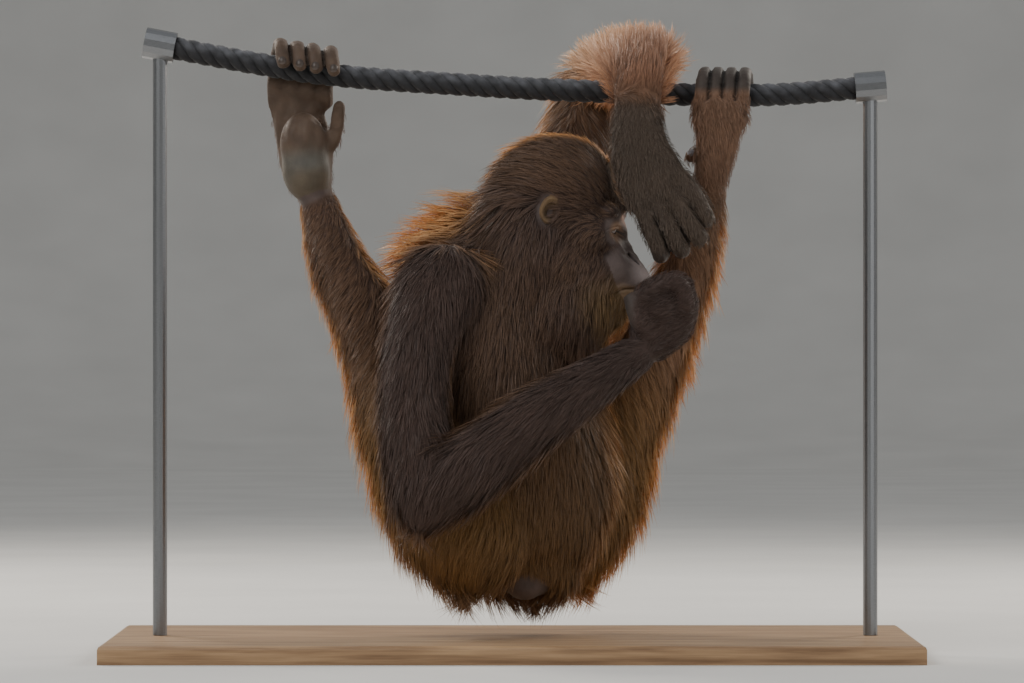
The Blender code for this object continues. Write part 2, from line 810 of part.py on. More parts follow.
def open_places(body, others, step, draw):
    """Points spread evenly over a body where nothing lies close in front of them."""
    triangles = [polygon for polygon in body.data.polygons if polygon.area > 0]
    corners = [vert.co for vert in body.data.vertices]
    weights = [polygon.area for polygon in triangles]
    chosen = []
    for polygon in draw.choices(triangles, weights, k=1500):
        a, b, c = (corners[index] for index in polygon.vertices)
        u, v = draw.random(), draw.random()
        if u + v > 1:
            u, v = 1 - u, 1 - v
        place = a + (b - a) * u + (c - a) * v
        if any((place - other).length < step for other, normal in chosen):
            continue
        if body.name == "head" and (head_frame().inverted() @ place).x > BARE_FACE * MM:
            continue
        hit = others.ray_cast(place + polygon.normal * MM, polygon.normal, OPEN_AIR * MM)[0]
        if hit is None:
            chosen.append((place, polygon.normal.copy()))
    return chosen


def lock_mesh(line, ways, outs, wide, thick):
    """A flat lock of three-sided rings along a line, closed on its tip."""
    bm = bmesh.new()
    rings = []
    for place, way, out, taper in zip(line, ways, outs, (0.8,) + LOCK_TAPER):
        side = way.cross(out).normalized() * wide * taper
        rings.append([bm.verts.new(place - side), bm.verts.new(place + side),
                      bm.verts.new(place + out * thick * taper)])
    for low, high in zip(rings, rings[1:]):
        for step in range(3):
            after = (step + 1) % 3
            bm.faces.new((low[step], low[after], high[after]))
            bm.faces.new((low[step], high[after], high[step]))
    bm.faces.new(rings[0])
    tip = bm.verts.new(line[-1])
    for step in range(3):
        bm.faces.new((rings[-1][step], rings[-1][(step + 1) % 3], tip))
    return bm


def lock_route(place, normal, way, length, height, surface):
    """The line of a lock: from under its root, along the body and up to the coat's depth."""
    line = [place - normal * LOCK_SINK * MM - way * 0.08 * length]
    outs = [normal]
    foot = place
    out = normal
    done = 0.0
    for share, rise in zip(LOCK_SHARES, LOCK_RISE):
        lie = (way - out * way.dot(out)).normalized()
        near, found, _, _ = surface.find_nearest(foot + lie * length * (share - done))
        out = (out + found).normalized()
        foot = near
        done = share
        line.append(near + out * height * rise)
        outs.append(out)
    return line, outs


def clear_of(bm, trees):
    """Whether a lock, grown by the gap, stays out of every other body."""
    bm.normal_update()
    for vert in bm.verts:
        vert.co += vert.normal * LOCK_CLEAR * MM
    grown = BVHTree.FromBMesh(bm)
    return not any(tree.overlap(grown) for tree in trees)


def coat_locks(body, bodies, placed, surface):
    """The locks of one node, each bent up or left out where it would meet another node."""
    way, length, height, step = COATS[body.name]
    draw = random.Random(LOCK_SEED + len(body.name) * 13 + step)
    trees = [tree_of(other) for other in bodies if other is not body]
    trees += [tree for name, tree in placed if name != body.name]
    bm = bmesh.new()
    for other in bodies:
        if other is not body:
            bm.from_mesh(other.data)
    others = BVHTree.FromBMesh(bm)
    bm.free()
    locks = []
    for place, normal in open_places(body, others, step * MM, draw):
        lie = Vector(way).normalized()
        lie += Vector((draw.uniform(-0.2, 0.2), draw.uniform(-0.2, 0.2), draw.uniform(-0.1, 0.1)))
        lie = (lie - normal * lie.dot(normal) * 0.9).normalized()
        size = draw.uniform(0.85, 1.15)
        for lift in LOCK_LIFTS:
            line, outs = lock_route(place, normal, lie, length * size * MM, height * lift * MM, surface)
            shape = (line, tangents(line), outs, LOCK_WIDTH * size * MM, LOCK_THICK * MM)
            if clear_of(lock_mesh(*shape), trees):
                lock = object_from(lock_mesh(*shape), "lock")
                locks.append(lock)
                placed.append((body.name, tree_of(lock)))
                break
    return locks + fringe_locks(body, trees, placed, surface)


def fringe_locks(body, trees, placed, surface):
    """Locks that stand off the elbow, where this node is what lies there."""
    locks = []
    own = tree_of(body)
    for target in FRINGE:
        place, normal, _, away = own.find_nearest(mm(target))
        if away - surface.find_nearest(mm(target))[3] > MERGE * MM:
            continue
        lie = (mm(target) - place).normalized()
        line = [place + lie * FRINGE_REACH * MM * share for share in (-0.14, 0.33, 0.72, 1.0)]
        out = (Vector((0, 0, 1)) - lie * lie.z).normalized()
        shape = (line, tangents(line), [out] * len(line), LOCK_WIDTH * MM, LOCK_THICK * MM)
        if clear_of(lock_mesh(*shape), trees):
            lock = object_from(lock_mesh(*shape), "lock")
            locks.append(lock)
            placed.append((body.name, tree_of(lock)))
    return locks


def add_coats(bodies):
    """Fuse the locks of the coat to each node that carries them."""
    bm = bmesh.new()
    for body in bodies:
        bm.from_mesh(body.data)
    surface = BVHTree.FromBMesh(bm)
    bm.free()
    placed = []
    coats = [(body, coat_locks(body, bodies, placed, surface)) for body in bodies if body.name in COATS]
    for body, locks in coats:
        boolean(body, locks, "UNION")


def build_all():
    """Build each node, cut from those before it that it touches."""
    clear_scene()
    sheath = build_sheath()
    rope = build_rope()
    base = build_base()
    rods = [build_rod("stand_rod_left", 0), build_rod("stand_rod_right", -1)]
    moulds = [mould_of(sheath)]
    discard([sheath])
    bodies = []
    colours = []
    for make, carve, colour in node_steps():
        body = make()
        moulds.append(mould_of(body))
        part_from(body, moulds[:-1])
        if carve:
            carve(body)
        bodies.append(body)
        colours.append(colour)
    discard(moulds)
    for name, side in (("eye_right", -1), ("eye_left", 1)):
        bodies.append(head_ball(name, mirrored(EYE_PLACE, side), (EYE_RADIUS - 0.4,) * 3, 0, 8, 6))
        colours.append(EYE_BROWN)
    add_coats(bodies + [rope])
    for body, colour in zip(bodies, colours):
        finish(body, colour, 0.1 if colour is EYE_BROWN else 0.8)
    finish(rope, ROPE_GREY, 0.85)
    finish(base, STAND_WOOD, 0.5)
    for rod in rods:
        finish(rod, STAND_METAL, 0.3, 1.0)


build_all()
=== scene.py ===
"""The dressed model of a young orangutan that hangs from a length of rope on a display stand."""

import math

import bmesh
import bpy
import numpy as np
from mathutils import Matrix, Vector
from mathutils.bvhtree import BVHTree
from mathutils.kdtree import KDTree


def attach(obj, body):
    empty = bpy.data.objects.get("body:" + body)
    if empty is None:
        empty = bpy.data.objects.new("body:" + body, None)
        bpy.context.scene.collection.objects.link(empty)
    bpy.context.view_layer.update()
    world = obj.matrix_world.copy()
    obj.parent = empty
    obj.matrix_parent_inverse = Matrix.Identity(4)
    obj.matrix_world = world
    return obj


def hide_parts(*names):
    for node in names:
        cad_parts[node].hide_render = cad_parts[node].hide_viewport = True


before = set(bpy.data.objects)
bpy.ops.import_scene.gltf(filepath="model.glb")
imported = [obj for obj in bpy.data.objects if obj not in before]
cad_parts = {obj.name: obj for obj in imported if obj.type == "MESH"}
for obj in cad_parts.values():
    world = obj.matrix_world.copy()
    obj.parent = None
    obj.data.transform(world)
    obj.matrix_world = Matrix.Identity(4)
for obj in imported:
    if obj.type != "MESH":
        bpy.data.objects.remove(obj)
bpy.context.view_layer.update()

MM = 0.001
DRAW = np.random.default_rng(11)

# Camera: level, square to the rope, far off
CAMERA_HEIGHT = 343.2
CAMERA_DISTANCE = 6000
SENSOR = 36.0
VIEW_WIDTH = 1126.4

# Rope, as in the solids: points on its middle, and the strands it is laid from
ROPE_ROUTE = (
    (-398, 0, 671),
    (-275, 0, 648),
    (-184, 0, 635),
    (-57, 0, 626),
    (75, 0, 619),
    (262, 0, 614),
    (405, 0, 624),
)
STRANDS = 4
STRAND_RADIUS = 5.9
STRAND_OFFSET = 6.8
ROPE_RADIUS = STRAND_RADIUS + STRAND_OFFSET
ROPE_PITCH = 62
ROPE_END_LENGTH = 26

# Stations of the skin, close to those of the solids: x, y, z, half width, half depth
TORSO = (
    (-2, 2, 452, 54, 46),
    (-13, 4, 411, 92, 62),
    (-15, 2, 350, 100, 76),
    (0, 0, 279, 96, 80),
    (14, -3, 213, 94, 84),
    (18, 0, 150, 86, 76),
    (18, 3, 112, 60, 56),
)
TORSO_SIDE = (0.64, 0.77, 0)
PERINEUM = ((14, -24, 78), (22, 24, 20))
NECK = ((0, -6, 396, 66, 60), (20, -14, 438, 60, 56), (40, -20, 474, 50, 46))
NECK_SIDE = (0.4, 0.9, 0)
THROAT = (((62, -40, 374), (44, 34, 46)), ((82, -42, 394), (38, 30, 40)))
RIGHT_THIGH = (
    (-29, -52, 132, 58, 52),
    (-60, -62, 162, 62, 54),
    (-95, -54, 230, 54, 46),
    (-121, -40, 284, 42, 38),
    (-141, -24, 332, 33, 33),
)
RIGHT_SHANK = (
    (-141, -24, 332, 32, 33),
    (-163, -14, 383, 30, 30),
    (-184, -4, 420, 27, 27),
    (-200, 8, 457, 24, 24),
    (-214, 18, 497, 20, 19),
)
LEFT_THIGH = (
    (48, 50, 130, 56, 52),
    (74, 58, 170, 58, 54),
    (104, 60, 245, 48, 46),
    (135, 58, 306, 40, 38),
    (160, 52, 350, 32, 33),
)
LEFT_SHANK = (
    (160, 52, 350, 31, 33),
    (184, 40, 400, 27, 28),
    (199, 26, 444, 24, 25),
    (210, 8, 486, 20, 20),
    (217, -4, 512, 17, 17),
)
LEG_SIDE = (1, 0, 0)
RIGHT_UPPER_ARM = (
    (-72, -66, 408, 46, 44),
    (-88, -92, 382, 40, 40),
    (-102, -112, 330, 34, 35),
    (-105, -132, 259, 32, 33),
    (-94, -150, 184, 32, 32),
)
RIGHT_FOREARM = (
    (-94, -150, 182, 31, 32),
    (-45, -153, 210, 33, 32),
    (30, -149, 264, 29, 28),
    (100, -134, 308, 23, 22),
    (147, -118, 338, 20, 18),
)
LEFT_UPPER_ARM = (
    (40, 62, 446, 42, 40),
    (56, 86, 500, 36, 36),
    (74, 130, 574, 31, 31),
    (94, 172, 634, 29, 29),
)
LEFT_FOREARM = (
    (98, 172, 634, 29, 27),
    (118, 118, 648, 35, 24),
    (134, 50, 650, 37, 21),
    (138, 4, 647, 34, 18),
    (138, -36, 628, 30, 18),
    (136, -54, 590, 26, 17),
)
ARM_SIDE = (1, 0, 0.4)

# Head: a frame at the middle of the skull, forward, to the animal's left and up
SKULL_CENTRE = (55, -22, 509)
HEAD_PITCH = math.radians(20)
HEAD_YAW = math.radians(10)
SKULL = (
    ((0, 0, 0), (60, 50, 57)),
    ((-20, 0, -20), (42, 45, 42)),
    ((54, 0, -28), (30, 34, 30)),
    ((48, 0, -76), (44, 32, 32)),
    ((24, 0, -92), (38, 36, 34)),
    ((92, 0, -67), (36, 28, 25)),
    ((112, 0, -64), (18, 21, 11)),
    ((108, 0, -87), (19, 20, 11)),
    ((92, 0, -102), (22, 20, 16)),
    ((78, 0, -26), (9, 7, 14)),
    ((98, 0, -43), (9, 8, 6)),
    ((87, 0, -37), (10, 8, 10)),
)
SKULL_PAIRS = (
    ((62, 17, -4), (12, 16, 8)),
    ((48, 31, -32), (22, 15, 20)),
    ((44, 27, -70), (36, 18, 30)),
    ((103, 6, -48), (5, 5, 5)),
    ((76, 14, -44), (16, 13, 15)),
    ((84, 20, -62), (24, 14, 20)),
)
EYE_PLACE = (64, 17.5, -20)
EYE_RADIUS = 10.5
LID_RADIUS = 12.6
EYE_OUT = math.radians(9)
EYE_DOWN = math.radians(10)
SLIT_HALF = (math.radians(44), math.radians(15))
LID_FOLDS = ((-27, 0.8), (-38, 0.6), (-50, 0.45))
MOUTH_LINE = ((134, 0, -68), (126, 16, -71), (113, 27, -78), (100, 33, -86))
NOSTRIL_LINE = ((95, 8, -42), (101, 9.5, -44), (108, 8.5, -48))
EAR_PLACE = (2, 49, -23)
EAR_SIZE = (12, 18)
EAR_SINK = 6

# Patches of the head, in its frame: their middle and radii; those off the middle are mirrored
SNOUT_PATCH = ((104, 0, -66), (46, 44, 40))
ORBIT_PATCH = ((70, 18, -22), (17, 17, 15))
EAR_PATCH = (EAR_PLACE, (15, 16, 21))
BRIDGE_PATCH = ((84, 0, -28), (16, 10, 18))
BROW_PATCH = ((78, 0, -3), (13, 22, 12))
JAW_TINT = ((84, 0, -96), (40, 48, 34))
MUZZLE_TINT = ((110, 0, -58), (26, 24, 17))
LIP_TINT = ((106, 0, -80), (30, 34, 16))
LID_TINT = ((74, 19, -20), (9, 13, 11))
BROW_TINT = ((80, 0, -2), (12, 20, 13))
FACE_MIDDLE = (80, 0, -50)
FACE_REACH = 110
FACE_BOX = ((34, 200), (-46, 46), (-118, 8))

# Hands and feet
RIGHT_PALM = ((148, -117, 338, 20, 17), (160, -112, 362, 34, 24), (164, -108, 386, 36, 26))
RIGHT_PALM_SIDE = (1, 0.1, -0.3)
RIGHT_FINGER_LINE = ((188, 380), (180, 402), (160, 400), (142, 392), (130, 378))
RIGHT_FINGER_LIFTS = (2, 5, 3, 0)
RIGHT_FINGER_NEAR_Y = -132
RIGHT_FINGER_STEP = 16
RIGHT_THUMB = ((146, -130, 350), (134, -136, 368), (128, -128, 390))
LEFT_PALM = (
    (136, -56, 588, 26, 17),
    (140, -62, 552, 32, 17),
    (151, -66, 520, 38, 15),
    (160, -66, 500, 36, 12),
)
LEFT_PALM_SIDE = (1, 0, 0.35)
LEFT_FINGERS = (
    ((140, -64, 500), (150, -72, 468), (158, -72, 450), (162, -65, 436)),
    ((156, -66, 497), (170, -75, 470), (178, -74, 452), (186, -66, 442)),
    ((172, -67, 508), (186, -75, 484), (198, -73, 464), (205, -66, 456)),
    ((185, -66, 519), (199, -72, 499), (208, -70, 484), (211, -62, 476)),
)
LEFT_THUMB = ((116, -46, 538), (113, -40, 512), (121, -40, 490))
FINGER_RADIUS = 10.5
FINGER_TIP = 8
LEFT_FINGER_RADIUS = 11.5
LEFT_FINGER_TIP = 9.6
FIST_FILL = ((160, -113, 379), (31, 27, 25))
RIGHT_SOLE = (
    (-218, 20, 508, 20, 18),
    (-226, 24, 536, 29, 20),
    (-229, 27, 560, 31, 15),
    (-237, 29, 594, 29, 12),
    (-245, 28, 618, 28, 10),
)
RIGHT_HEEL = ((-227, 6, 530), (27, 20, 33))
RIGHT_INSTEP = ((-230, 6, 560), (26, 19, 36))
RIGHT_FOOT_BOX = ((-400, -185), (-200, 200), (495, 622))
RIGHT_TOES_X = (-262, -243, -226, -206)
RIGHT_HALLUX = ((-212, 22, 549), (-196, 14, 568), (-190, 4, 602))
LEFT_SOLE = (
    (217, -4, 512, 17, 16),
    (223, -18, 548, 22, 14),
    (227, -27, 582, 26, 12),
    (229, -29, 604, 27, 10),
)
LEFT_HEEL = ((216, 8, 516), (17, 18, 18))
LEFT_TOES_X = (206, 220, 235, 250)
LEFT_HALLUX = ((236, -8, 556), (218, 6, 552), (196, 2, 547))
FOOT_SIDE = (1, 0, 0.1)
TOE_RADIUS = 9.3
TOE_TIP = 7.6
TOE_LEAN = 2.2
JOINT_CREASES = (0.4, 0.44, 0.72, 0.76)
VALLEY_DEPTH = 4.6
TOE_GAP = 2.2
TOE_ROOT = (27, 30)
TOE_TURN = math.radians(215)
TOE_START = math.radians(-40)


def tone(red, green, blue):
    """A screen colour as the light it stands for."""
    return tuple(((value / 255 + 0.055) / 1.055) ** 2.4 for value in (red, green, blue))


INK = tone(34, 25, 22)
DARK = tone(68, 52, 46)
BROWN = tone(96, 70, 50)
OLIVE = tone(112, 82, 44)
RED = tone(122, 92, 72)
UMBER = tone(82, 61, 50)
FAWN = tone(136, 98, 76)
SMOKE = tone(84, 71, 60)
TAN = tone(126, 102, 64)
# Gold: the hair's own reddish tint made lighter with painted back light, for hair at the outlines and on the
# sides away from the camera.
GOLD_WITH_PAINTED_GLOW = tone(226, 170, 108)
COPPER = tone(152, 98, 62)
PALE = tone(210, 160, 122)
SKIN_FACE = tone(88, 76, 72)
SKIN_MUZZLE = tone(154, 141, 138)
SKIN_LIP = tone(134, 110, 82)
SKIN_LID = tone(150, 118, 92)
SKIN_SOLE = tone(84, 68, 56)
SKIN_HEEL = tone(92, 84, 70)
SKIN_HEEL_COLD = tone(86, 88, 86)
SKIN_BROW = tone(150, 106, 82)
SKIN_HAND = tone(64, 56, 51)
SKIN_BODY = tone(66, 50, 42)

# Coat: rows along each length of body: place from 0 to 1, the way the hair lies, its length in
# mm, how far it stands out, its colour toward the camera's side and away from it (the difference between the
# two is painted shade and painted back light), its closeness
COAT = {
    "torso": (
        (0.0, (-0.5, 0.25, -0.8), 52, 0.5, DARK, GOLD_WITH_PAINTED_GLOW, 1.0),
        (0.45, (-0.15, 0, -1), 56, 0.42, DARK, GOLD_WITH_PAINTED_GLOW, 1.0),
        (1.0, (0.1, 0, -1), 40, 0.35, OLIVE, RED, 1.0),
    ),
    "neck": (
        (0.0, (-0.1, 0, -1), 44, 0.35, DARK, GOLD_WITH_PAINTED_GLOW, 1.0),
        (1.0, (-0.15, 0, -1), 34, 0.3, DARK, RED, 1.1),
    ),
    "thigh_right": (
        (0.0, (-0.2, 0, -1), 50, 0.4, OLIVE, RED, 1.0),
        (0.5, (-0.4, 0, -1), 54, 0.5, OLIVE, GOLD_WITH_PAINTED_GLOW, 1.0),
        (1.0, (-0.5, 0, -1), 50, 0.5, UMBER, GOLD_WITH_PAINTED_GLOW, 1.0),
    ),
    "shank_right": (
        (0.0, (-0.5, 0, -1), 46, 0.45, UMBER, GOLD_WITH_PAINTED_GLOW, 1.0),
        (0.6, (-0.5, 0, -0.9), 34, 0.5, UMBER, GOLD_WITH_PAINTED_GLOW, 1.1),
        (1.0, (-0.3, 0, -1), 16, 0.3, UMBER, GOLD_WITH_PAINTED_GLOW, 1.2),
    ),
    "thigh_left": (
        (0.0, (0.25, 0, -1), 48, 0.42, OLIVE, GOLD_WITH_PAINTED_GLOW, 1.0),
        (0.5, (0.45, 0, -1), 54, 0.5, OLIVE, GOLD_WITH_PAINTED_GLOW, 1.0),
        (1.0, (0.5, 0, -1), 50, 0.5, RED, GOLD_WITH_PAINTED_GLOW, 1.0),
    ),
    "shank_left": (
        (0.0, (0.45, 0, -1), 46, 0.5, RED, GOLD_WITH_PAINTED_GLOW, 1.0),
        (0.6, (0.4, 0, -1), 32, 0.5, RED, GOLD_WITH_PAINTED_GLOW, 1.0),
        (1.0, (0.3, 0, -1), 16, 0.4, BROWN, RED, 1.1),
    ),
    "upper_arm_right": (
        (0.0, (-0.25, 0, -1), 38, 0.22, DARK, RED, 1.0),
        (0.5, (-0.1, 0, -1), 44, 0.24, DARK, BROWN, 1.0),
        (1.0, (0.0, 0, -1), 46, 0.3, DARK, BROWN, 1.0),
    ),
    "forearm_right": (
        (0.0, (-0.3, 0, -1), 46, 0.3, DARK, BROWN, 1.0),
        (0.5, (-0.8, 0, -0.65), 50, 0.22, DARK, BROWN, 1.0),
        (1.0, (-0.85, 0, -0.5), 22, 0.2, DARK, DARK, 1.1),
    ),
    "upper_arm_left": (
        (0.0, (0.1, 0.2, -1), 44, 0.3, DARK, RED, 1.0),
        (1.0, (0.1, 0.4, -1), 50, 0.4, BROWN, GOLD_WITH_PAINTED_GLOW, 1.0),
    ),
    "forearm_left": (
        (0.0, (0.0, 1, 0.2), 50, 0.6, RED, GOLD_WITH_PAINTED_GLOW, 1.0),
        (0.5, (0.0, 0.9, 0.5), 46, 0.6, FAWN, PALE, 1.0),
        (0.72, (0.05, 0.5, 0.9), 36, 0.6, FAWN, PALE, 1.1),
        (0.84, (0.1, -0.1, 0.7), 28, 0.8, FAWN, PALE, 1.2),
        (0.93, (0.1, -0.4, -0.1), 20, 0.9, BROWN, FAWN, 1.3),
        (1.0, (0.2, -0.1, -1.0), 13, 0.3, SMOKE, BROWN, 1.3),
    ),
    "head": ((0.0, (-1, 0, 0.1), 21, 0.24, DARK, GOLD_WITH_PAINTED_GLOW, 2.1),),
    "hand_right": ((0.0, (0.8, 0, 0.6), 9, 0.22, DARK, DARK, 1.2),),
    "hand_left": ((0.0, (0.2, -0.2, -1), 7.5, 0.16, SMOKE, SMOKE, 1.5),),
    "foot_right": ((0.0, (0, 0, -1), 10, 0.25, BROWN, RED, 0.5),),
    "foot_left": ((0.0, (0.2, 0, -1), 11, 0.22, RED, RED, 1.3),),
}
LENGTHS = {
    "torso": (TORSO, TORSO_SIDE),
    "neck": (NECK, NECK_SIDE),
    "thigh_right": (RIGHT_THIGH, LEG_SIDE),
    "shank_right": (RIGHT_SHANK, LEG_SIDE),
    "thigh_left": (LEFT_THIGH, LEG_SIDE),
    "shank_left": (LEFT_SHANK, LEG_SIDE),
    "upper_arm_right": (RIGHT_UPPER_ARM, ARM_SIDE),
    "forearm_right": (RIGHT_FOREARM, ARM_SIDE),
    "upper_arm_left": (LEFT_UPPER_ARM, ARM_SIDE),
    "forearm_left": (LEFT_FOREARM, ARM_SIDE),
    "hand_right": (RIGHT_PALM, RIGHT_PALM_SIDE),
    "hand_left": (LEFT_PALM, LEFT_PALM_SIDE),
    "foot_right": (RIGHT_SOLE, FOOT_SIDE),
    "foot_left": (LEFT_SOLE, FOOT_SIDE),
}
PARTS = list(COAT)

# The skin's grain in mm, the hands and feet, and how the field is sampled and laid out
BODY_VOXEL = 3.2
ENDS = ("hand_right", "hand_left", "foot_right", "foot_left")
PALM_SHARE = 0.5
HEAD_SPAN = 270
FIELD_STEPS = 26
COAT_COLUMN = 15


# Shape helpers


def smooth_rows(rows, count):
    """Rows of numbers at even steps on a Catmull-Rom curve through the given ones."""
    rows = np.array(rows, float)
    ends = np.vstack([rows[0] * 2 - rows[1], rows, rows[-1] * 2 - rows[-2]])
    places = np.linspace(0, len(rows) - 1, count)
    index = np.minimum(places.astype(int), len(rows) - 2)
    t = (places - index)[:, None]
    a, b, c, d = (ends[index + step] for step in range(4))
    bend = (-a + 3 * b - 3 * c + d) * t ** 3 + (2 * a - 5 * b + 4 * c - d) * t ** 2
    return (bend + (c - a) * t + 2 * b) / 2


def unit(vectors):
    """Vectors at length one."""
    size = np.linalg.norm(vectors, axis=-1, keepdims=True)
    return vectors / np.maximum(size, 1e-9)


def ways_of(line):
    """The direction of a line at each of its points."""
    ways = np.empty_like(line)
    ways[1:-1] = line[2:] - line[:-2]
    ways[0] = line[1] - line[0]
    ways[-1] = line[-1] - line[-2]
    return unit(ways)


def frames_of(line, side):
    """Directions along, across and through a line at each of its points."""
    along = ways_of(line)
    side = np.array(side, float)
    across = unit(side - along * (along @ side)[:, None])
    return along, across, np.cross(along, across)


def ring_faces(rings, sides):
    """Faces that bridge rings of equal size and close both ends on a point."""
    faces = []
    for ring in range(rings - 1):
        low = ring * sides
        for step in range(sides):
            after = (step + 1) % sides
            faces.append((low + step, low + after, low + sides + after, low + sides + step))
    first = rings * sides
    last = (rings - 1) * sides
    for step in range(sides):
        after = (step + 1) % sides
        faces.append((after, step, first))
        faces.append((last + step, last + after, first + 1))
    return faces


def tube(rows, side, sides=28, domes=5):
    """A closed tube of oval rings with domed ends, in mm: vertices and faces."""
    line = rows[:, :3]
    along, across, through = frames_of(line, side)
    angles = np.arange(sides) * math.tau / sides
    rings = []

    def ring(index, scale, shift):
        wide = across[index] * rows[index, 3] * scale
        deep = through[index] * rows[index, 4] * scale
        centre = line[index] + along[index] * shift
        rings.append(centre + np.outer(np.cos(angles), wide) + np.outer(np.sin(angles), deep))

    start = min(rows[0, 3], rows[0, 4]) * 0.9
    end = min(rows[-1, 3], rows[-1, 4]) * 0.9
    for step in range(domes, 0, -1):
        angle = step / (domes + 0.6) * math.pi / 2
        ring(0, math.cos(angle), -start * math.sin(angle))
    for index in range(len(rows)):
        ring(index, 1.0, 0.0)
    for step in range(1, domes + 1):
        angle = step / (domes + 0.6) * math.pi / 2
        ring(-1, math.cos(angle), end * math.sin(angle))
    poles = [line[0] - along[0] * start, line[-1] + along[-1] * end]
    return np.vstack(rings + [poles]), ring_faces(len(rings), sides)


def limb_form(stations, side, step=3.0, sides=32):
    """A length of body, its stations joined by smooth curves."""
    rough = np.array(stations, float)
    length = np.linalg.norm(np.diff(rough[:, :3], axis=0), axis=1).sum()
    return tube(smooth_rows(stations, max(8, int(length / step))), side, sides)


def digit_rows(points, root, tip, count=24):
    """The rows of a finger or toe, fuller at its joints and round at its end."""
    line = smooth_rows(points, count)
    t = np.linspace(0, 1, count)
    size = root + (tip - root) * t
    size *= 1 + 0.055 * np.exp(-((t - 0.42) / 0.07) ** 2) + 0.045 * np.exp(-((t - 0.74) / 0.06) ** 2)
    size *= 1 - 0.05 * np.exp(-((t - 0.58) / 0.08) ** 2)
    return np.column_stack([line, size, size])


def ellipsoid(centre, radii, turn=None, segments=32, rings=20):
    """An ellipsoid, in mm: vertices and faces."""
    v = np.linspace(0, math.pi, rings + 2)[1:-1]
    u = np.arange(segments) * math.tau / segments
    ring = np.stack([
        np.outer(np.sin(v), np.cos(u)), np.outer(np.sin(v), np.sin(u)),
        np.outer(np.cos(v), np.ones(segments))], axis=-1).reshape(-1, 3)
    verts = np.vstack([ring, [(0, 0, 1)], [(0, 0, -1)]]) * np.array(radii, float)
    if turn is not None:
        verts = verts @ turn.T
    return verts + np.array(centre, float), ring_faces(rings, segments)


HEAD_TURN = np.array(Matrix.Rotation(-HEAD_YAW, 3, "Z") @ Matrix.Rotation(HEAD_PITCH, 3, "Y"))


def from_head(places):
    """Places in the head's frame, in the world, in mm."""
    return np.array(places, float) @ HEAD_TURN.T + np.array(SKULL_CENTRE, float)


def to_head(places):
    """Places in the world, in the head's frame, in mm."""
    return (places - np.array(SKULL_CENTRE, float)) @ HEAD_TURN


def mirrored(place, side):
    """A place on the left of the head, or its mirror on the right."""
    return (place[0], place[1] * side, place[2])


def rope_line(count):
    """Points on the middle of the rope."""
    return smooth_rows(ROPE_ROUTE, count)


def toe_line(x, from_behind):
    """A toe's curve round the rope, from the sole's side over the top."""
    line = rope_line(200)
    middle = line[np.argmin(abs(line[:, 0] - x))]
    reach = ROPE_RADIUS + TOE_RADIUS + TOE_GAP
    side = 1 if from_behind else -1
    points = [(x, side * TOE_ROOT[0], middle[2] - TOE_ROOT[1])]
    for step in range(6):
        angle = TOE_START + TOE_TURN * step / 5
        y = side * reach * math.cos(angle)
        points.append((x + step * TOE_LEAN, y, middle[2] + reach * math.sin(angle)))
    return points


def mesh_object(name, verts, faces):
    """A linked object from vertices in mm and faces."""
    mesh = bpy.data.meshes.new(name)
    mesh.from_pydata((np.asarray(verts) * MM).tolist(), [], faces)
    mesh.validate()
    mesh.shade_smooth()
    made = bpy.data.objects.new(name, mesh)
    bpy.context.scene.collection.objects.link(made)
    return made


def joined(forms):
    """Several forms as one list of vertices and one of faces."""
    verts = []
    faces = []
    count = 0
    for points, sides in forms:
        verts.append(points)
        faces += [tuple(corner + count for corner in face) for face in sides]
        count += len(points)
    return np.vstack(verts), faces


def vertex_array(mesh, attribute="co"):
    """The places or normals of a mesh's vertices, in mm or as directions."""
    flat = np.empty(len(mesh.vertices) * 3, dtype=np.float32)
    if attribute == "co":
        mesh.vertices.foreach_get("co", flat)
        return flat.reshape(-1, 3).astype(float) / MM
    mesh.vertex_normals.foreach_get("vector", flat)
    return flat.reshape(-1, 3).astype(float)


def set_vertices(mesh, places):
    """Move a mesh's vertices to places in mm."""
    mesh.vertices.foreach_set("co", (places * MM).astype(np.float32).ravel())
    mesh.update()


def relax(mesh, rounds, amount):
    """Smooth a mesh, each vertex by its own amount."""
    pairs = np.empty(len(mesh.edges) * 2, dtype=np.int32)
    mesh.edges.foreach_get("vertices", pairs)
    first, second = pairs.reshape(-1, 2).T
    places = vertex_array(mesh)
    count = np.bincount(first, minlength=len(places)) + np.bincount(second, minlength=len(places))
    count = np.maximum(count, 1)[:, None]
    for _ in range(rounds):
        total = np.zeros_like(places)
        for axis in range(3):
            total[:, axis] = np.bincount(first, places[second, axis], len(places))
            total[:, axis] += np.bincount(second, places[first, axis], len(places))
        places += (total / count - places) * amount[:, None]
    set_vertices(mesh, places)


def ramp(values, low, high):
    """A smooth step from 0 at low to 1 at high."""
    t = np.clip((values - low) / (high - low), 0, 1)
    return t * t * (3 - 2 * t)


def fall(values, low, high):
    """A smooth step from 1 at low to 0 at high."""
    return 1 - ramp(values, low, high)


def bell(values, middle, width):
    """A smooth bump of height 1 about a middle."""
    return np.exp(-((values - middle) / width) ** 2)


def apart(places, form, side=1, grow=0):
    """How far places are from the middle of a form or its mirror, in shares of its radii."""
    centre, radii = form
    return np.linalg.norm((places - np.array(mirrored(centre, side))) / (np.array(radii) + grow), axis=1)


def inside(places, box):
    """Whether places are within a box, given as its spans in x, y and z."""
    low, high = np.array(box, float).T
    return ((places > low) & (places < high)).all(axis=1)


def is_part(part, *names):
    """Whether each point belongs to one of some parts."""
    return np.isin(part, [PARTS.index(name) for name in names])


def near_line(points, line):
    """The distance of points from a line of short segments, and how far along it they are."""
    best = np.full(len(points), 1e9)
    along = np.zeros(len(points))
    for index in range(len(line) - 1):
        start = line[index]
        span = line[index + 1] - start
        t = np.clip((points - start) @ span / (span @ span), 0, 1)
        away = np.linalg.norm(points - start - t[:, None] * span, axis=1)
        closer = away < best
        best = np.where(closer, away, best)
        along = np.where(closer, (index + t) / (len(line) - 1), along)
    return best, along


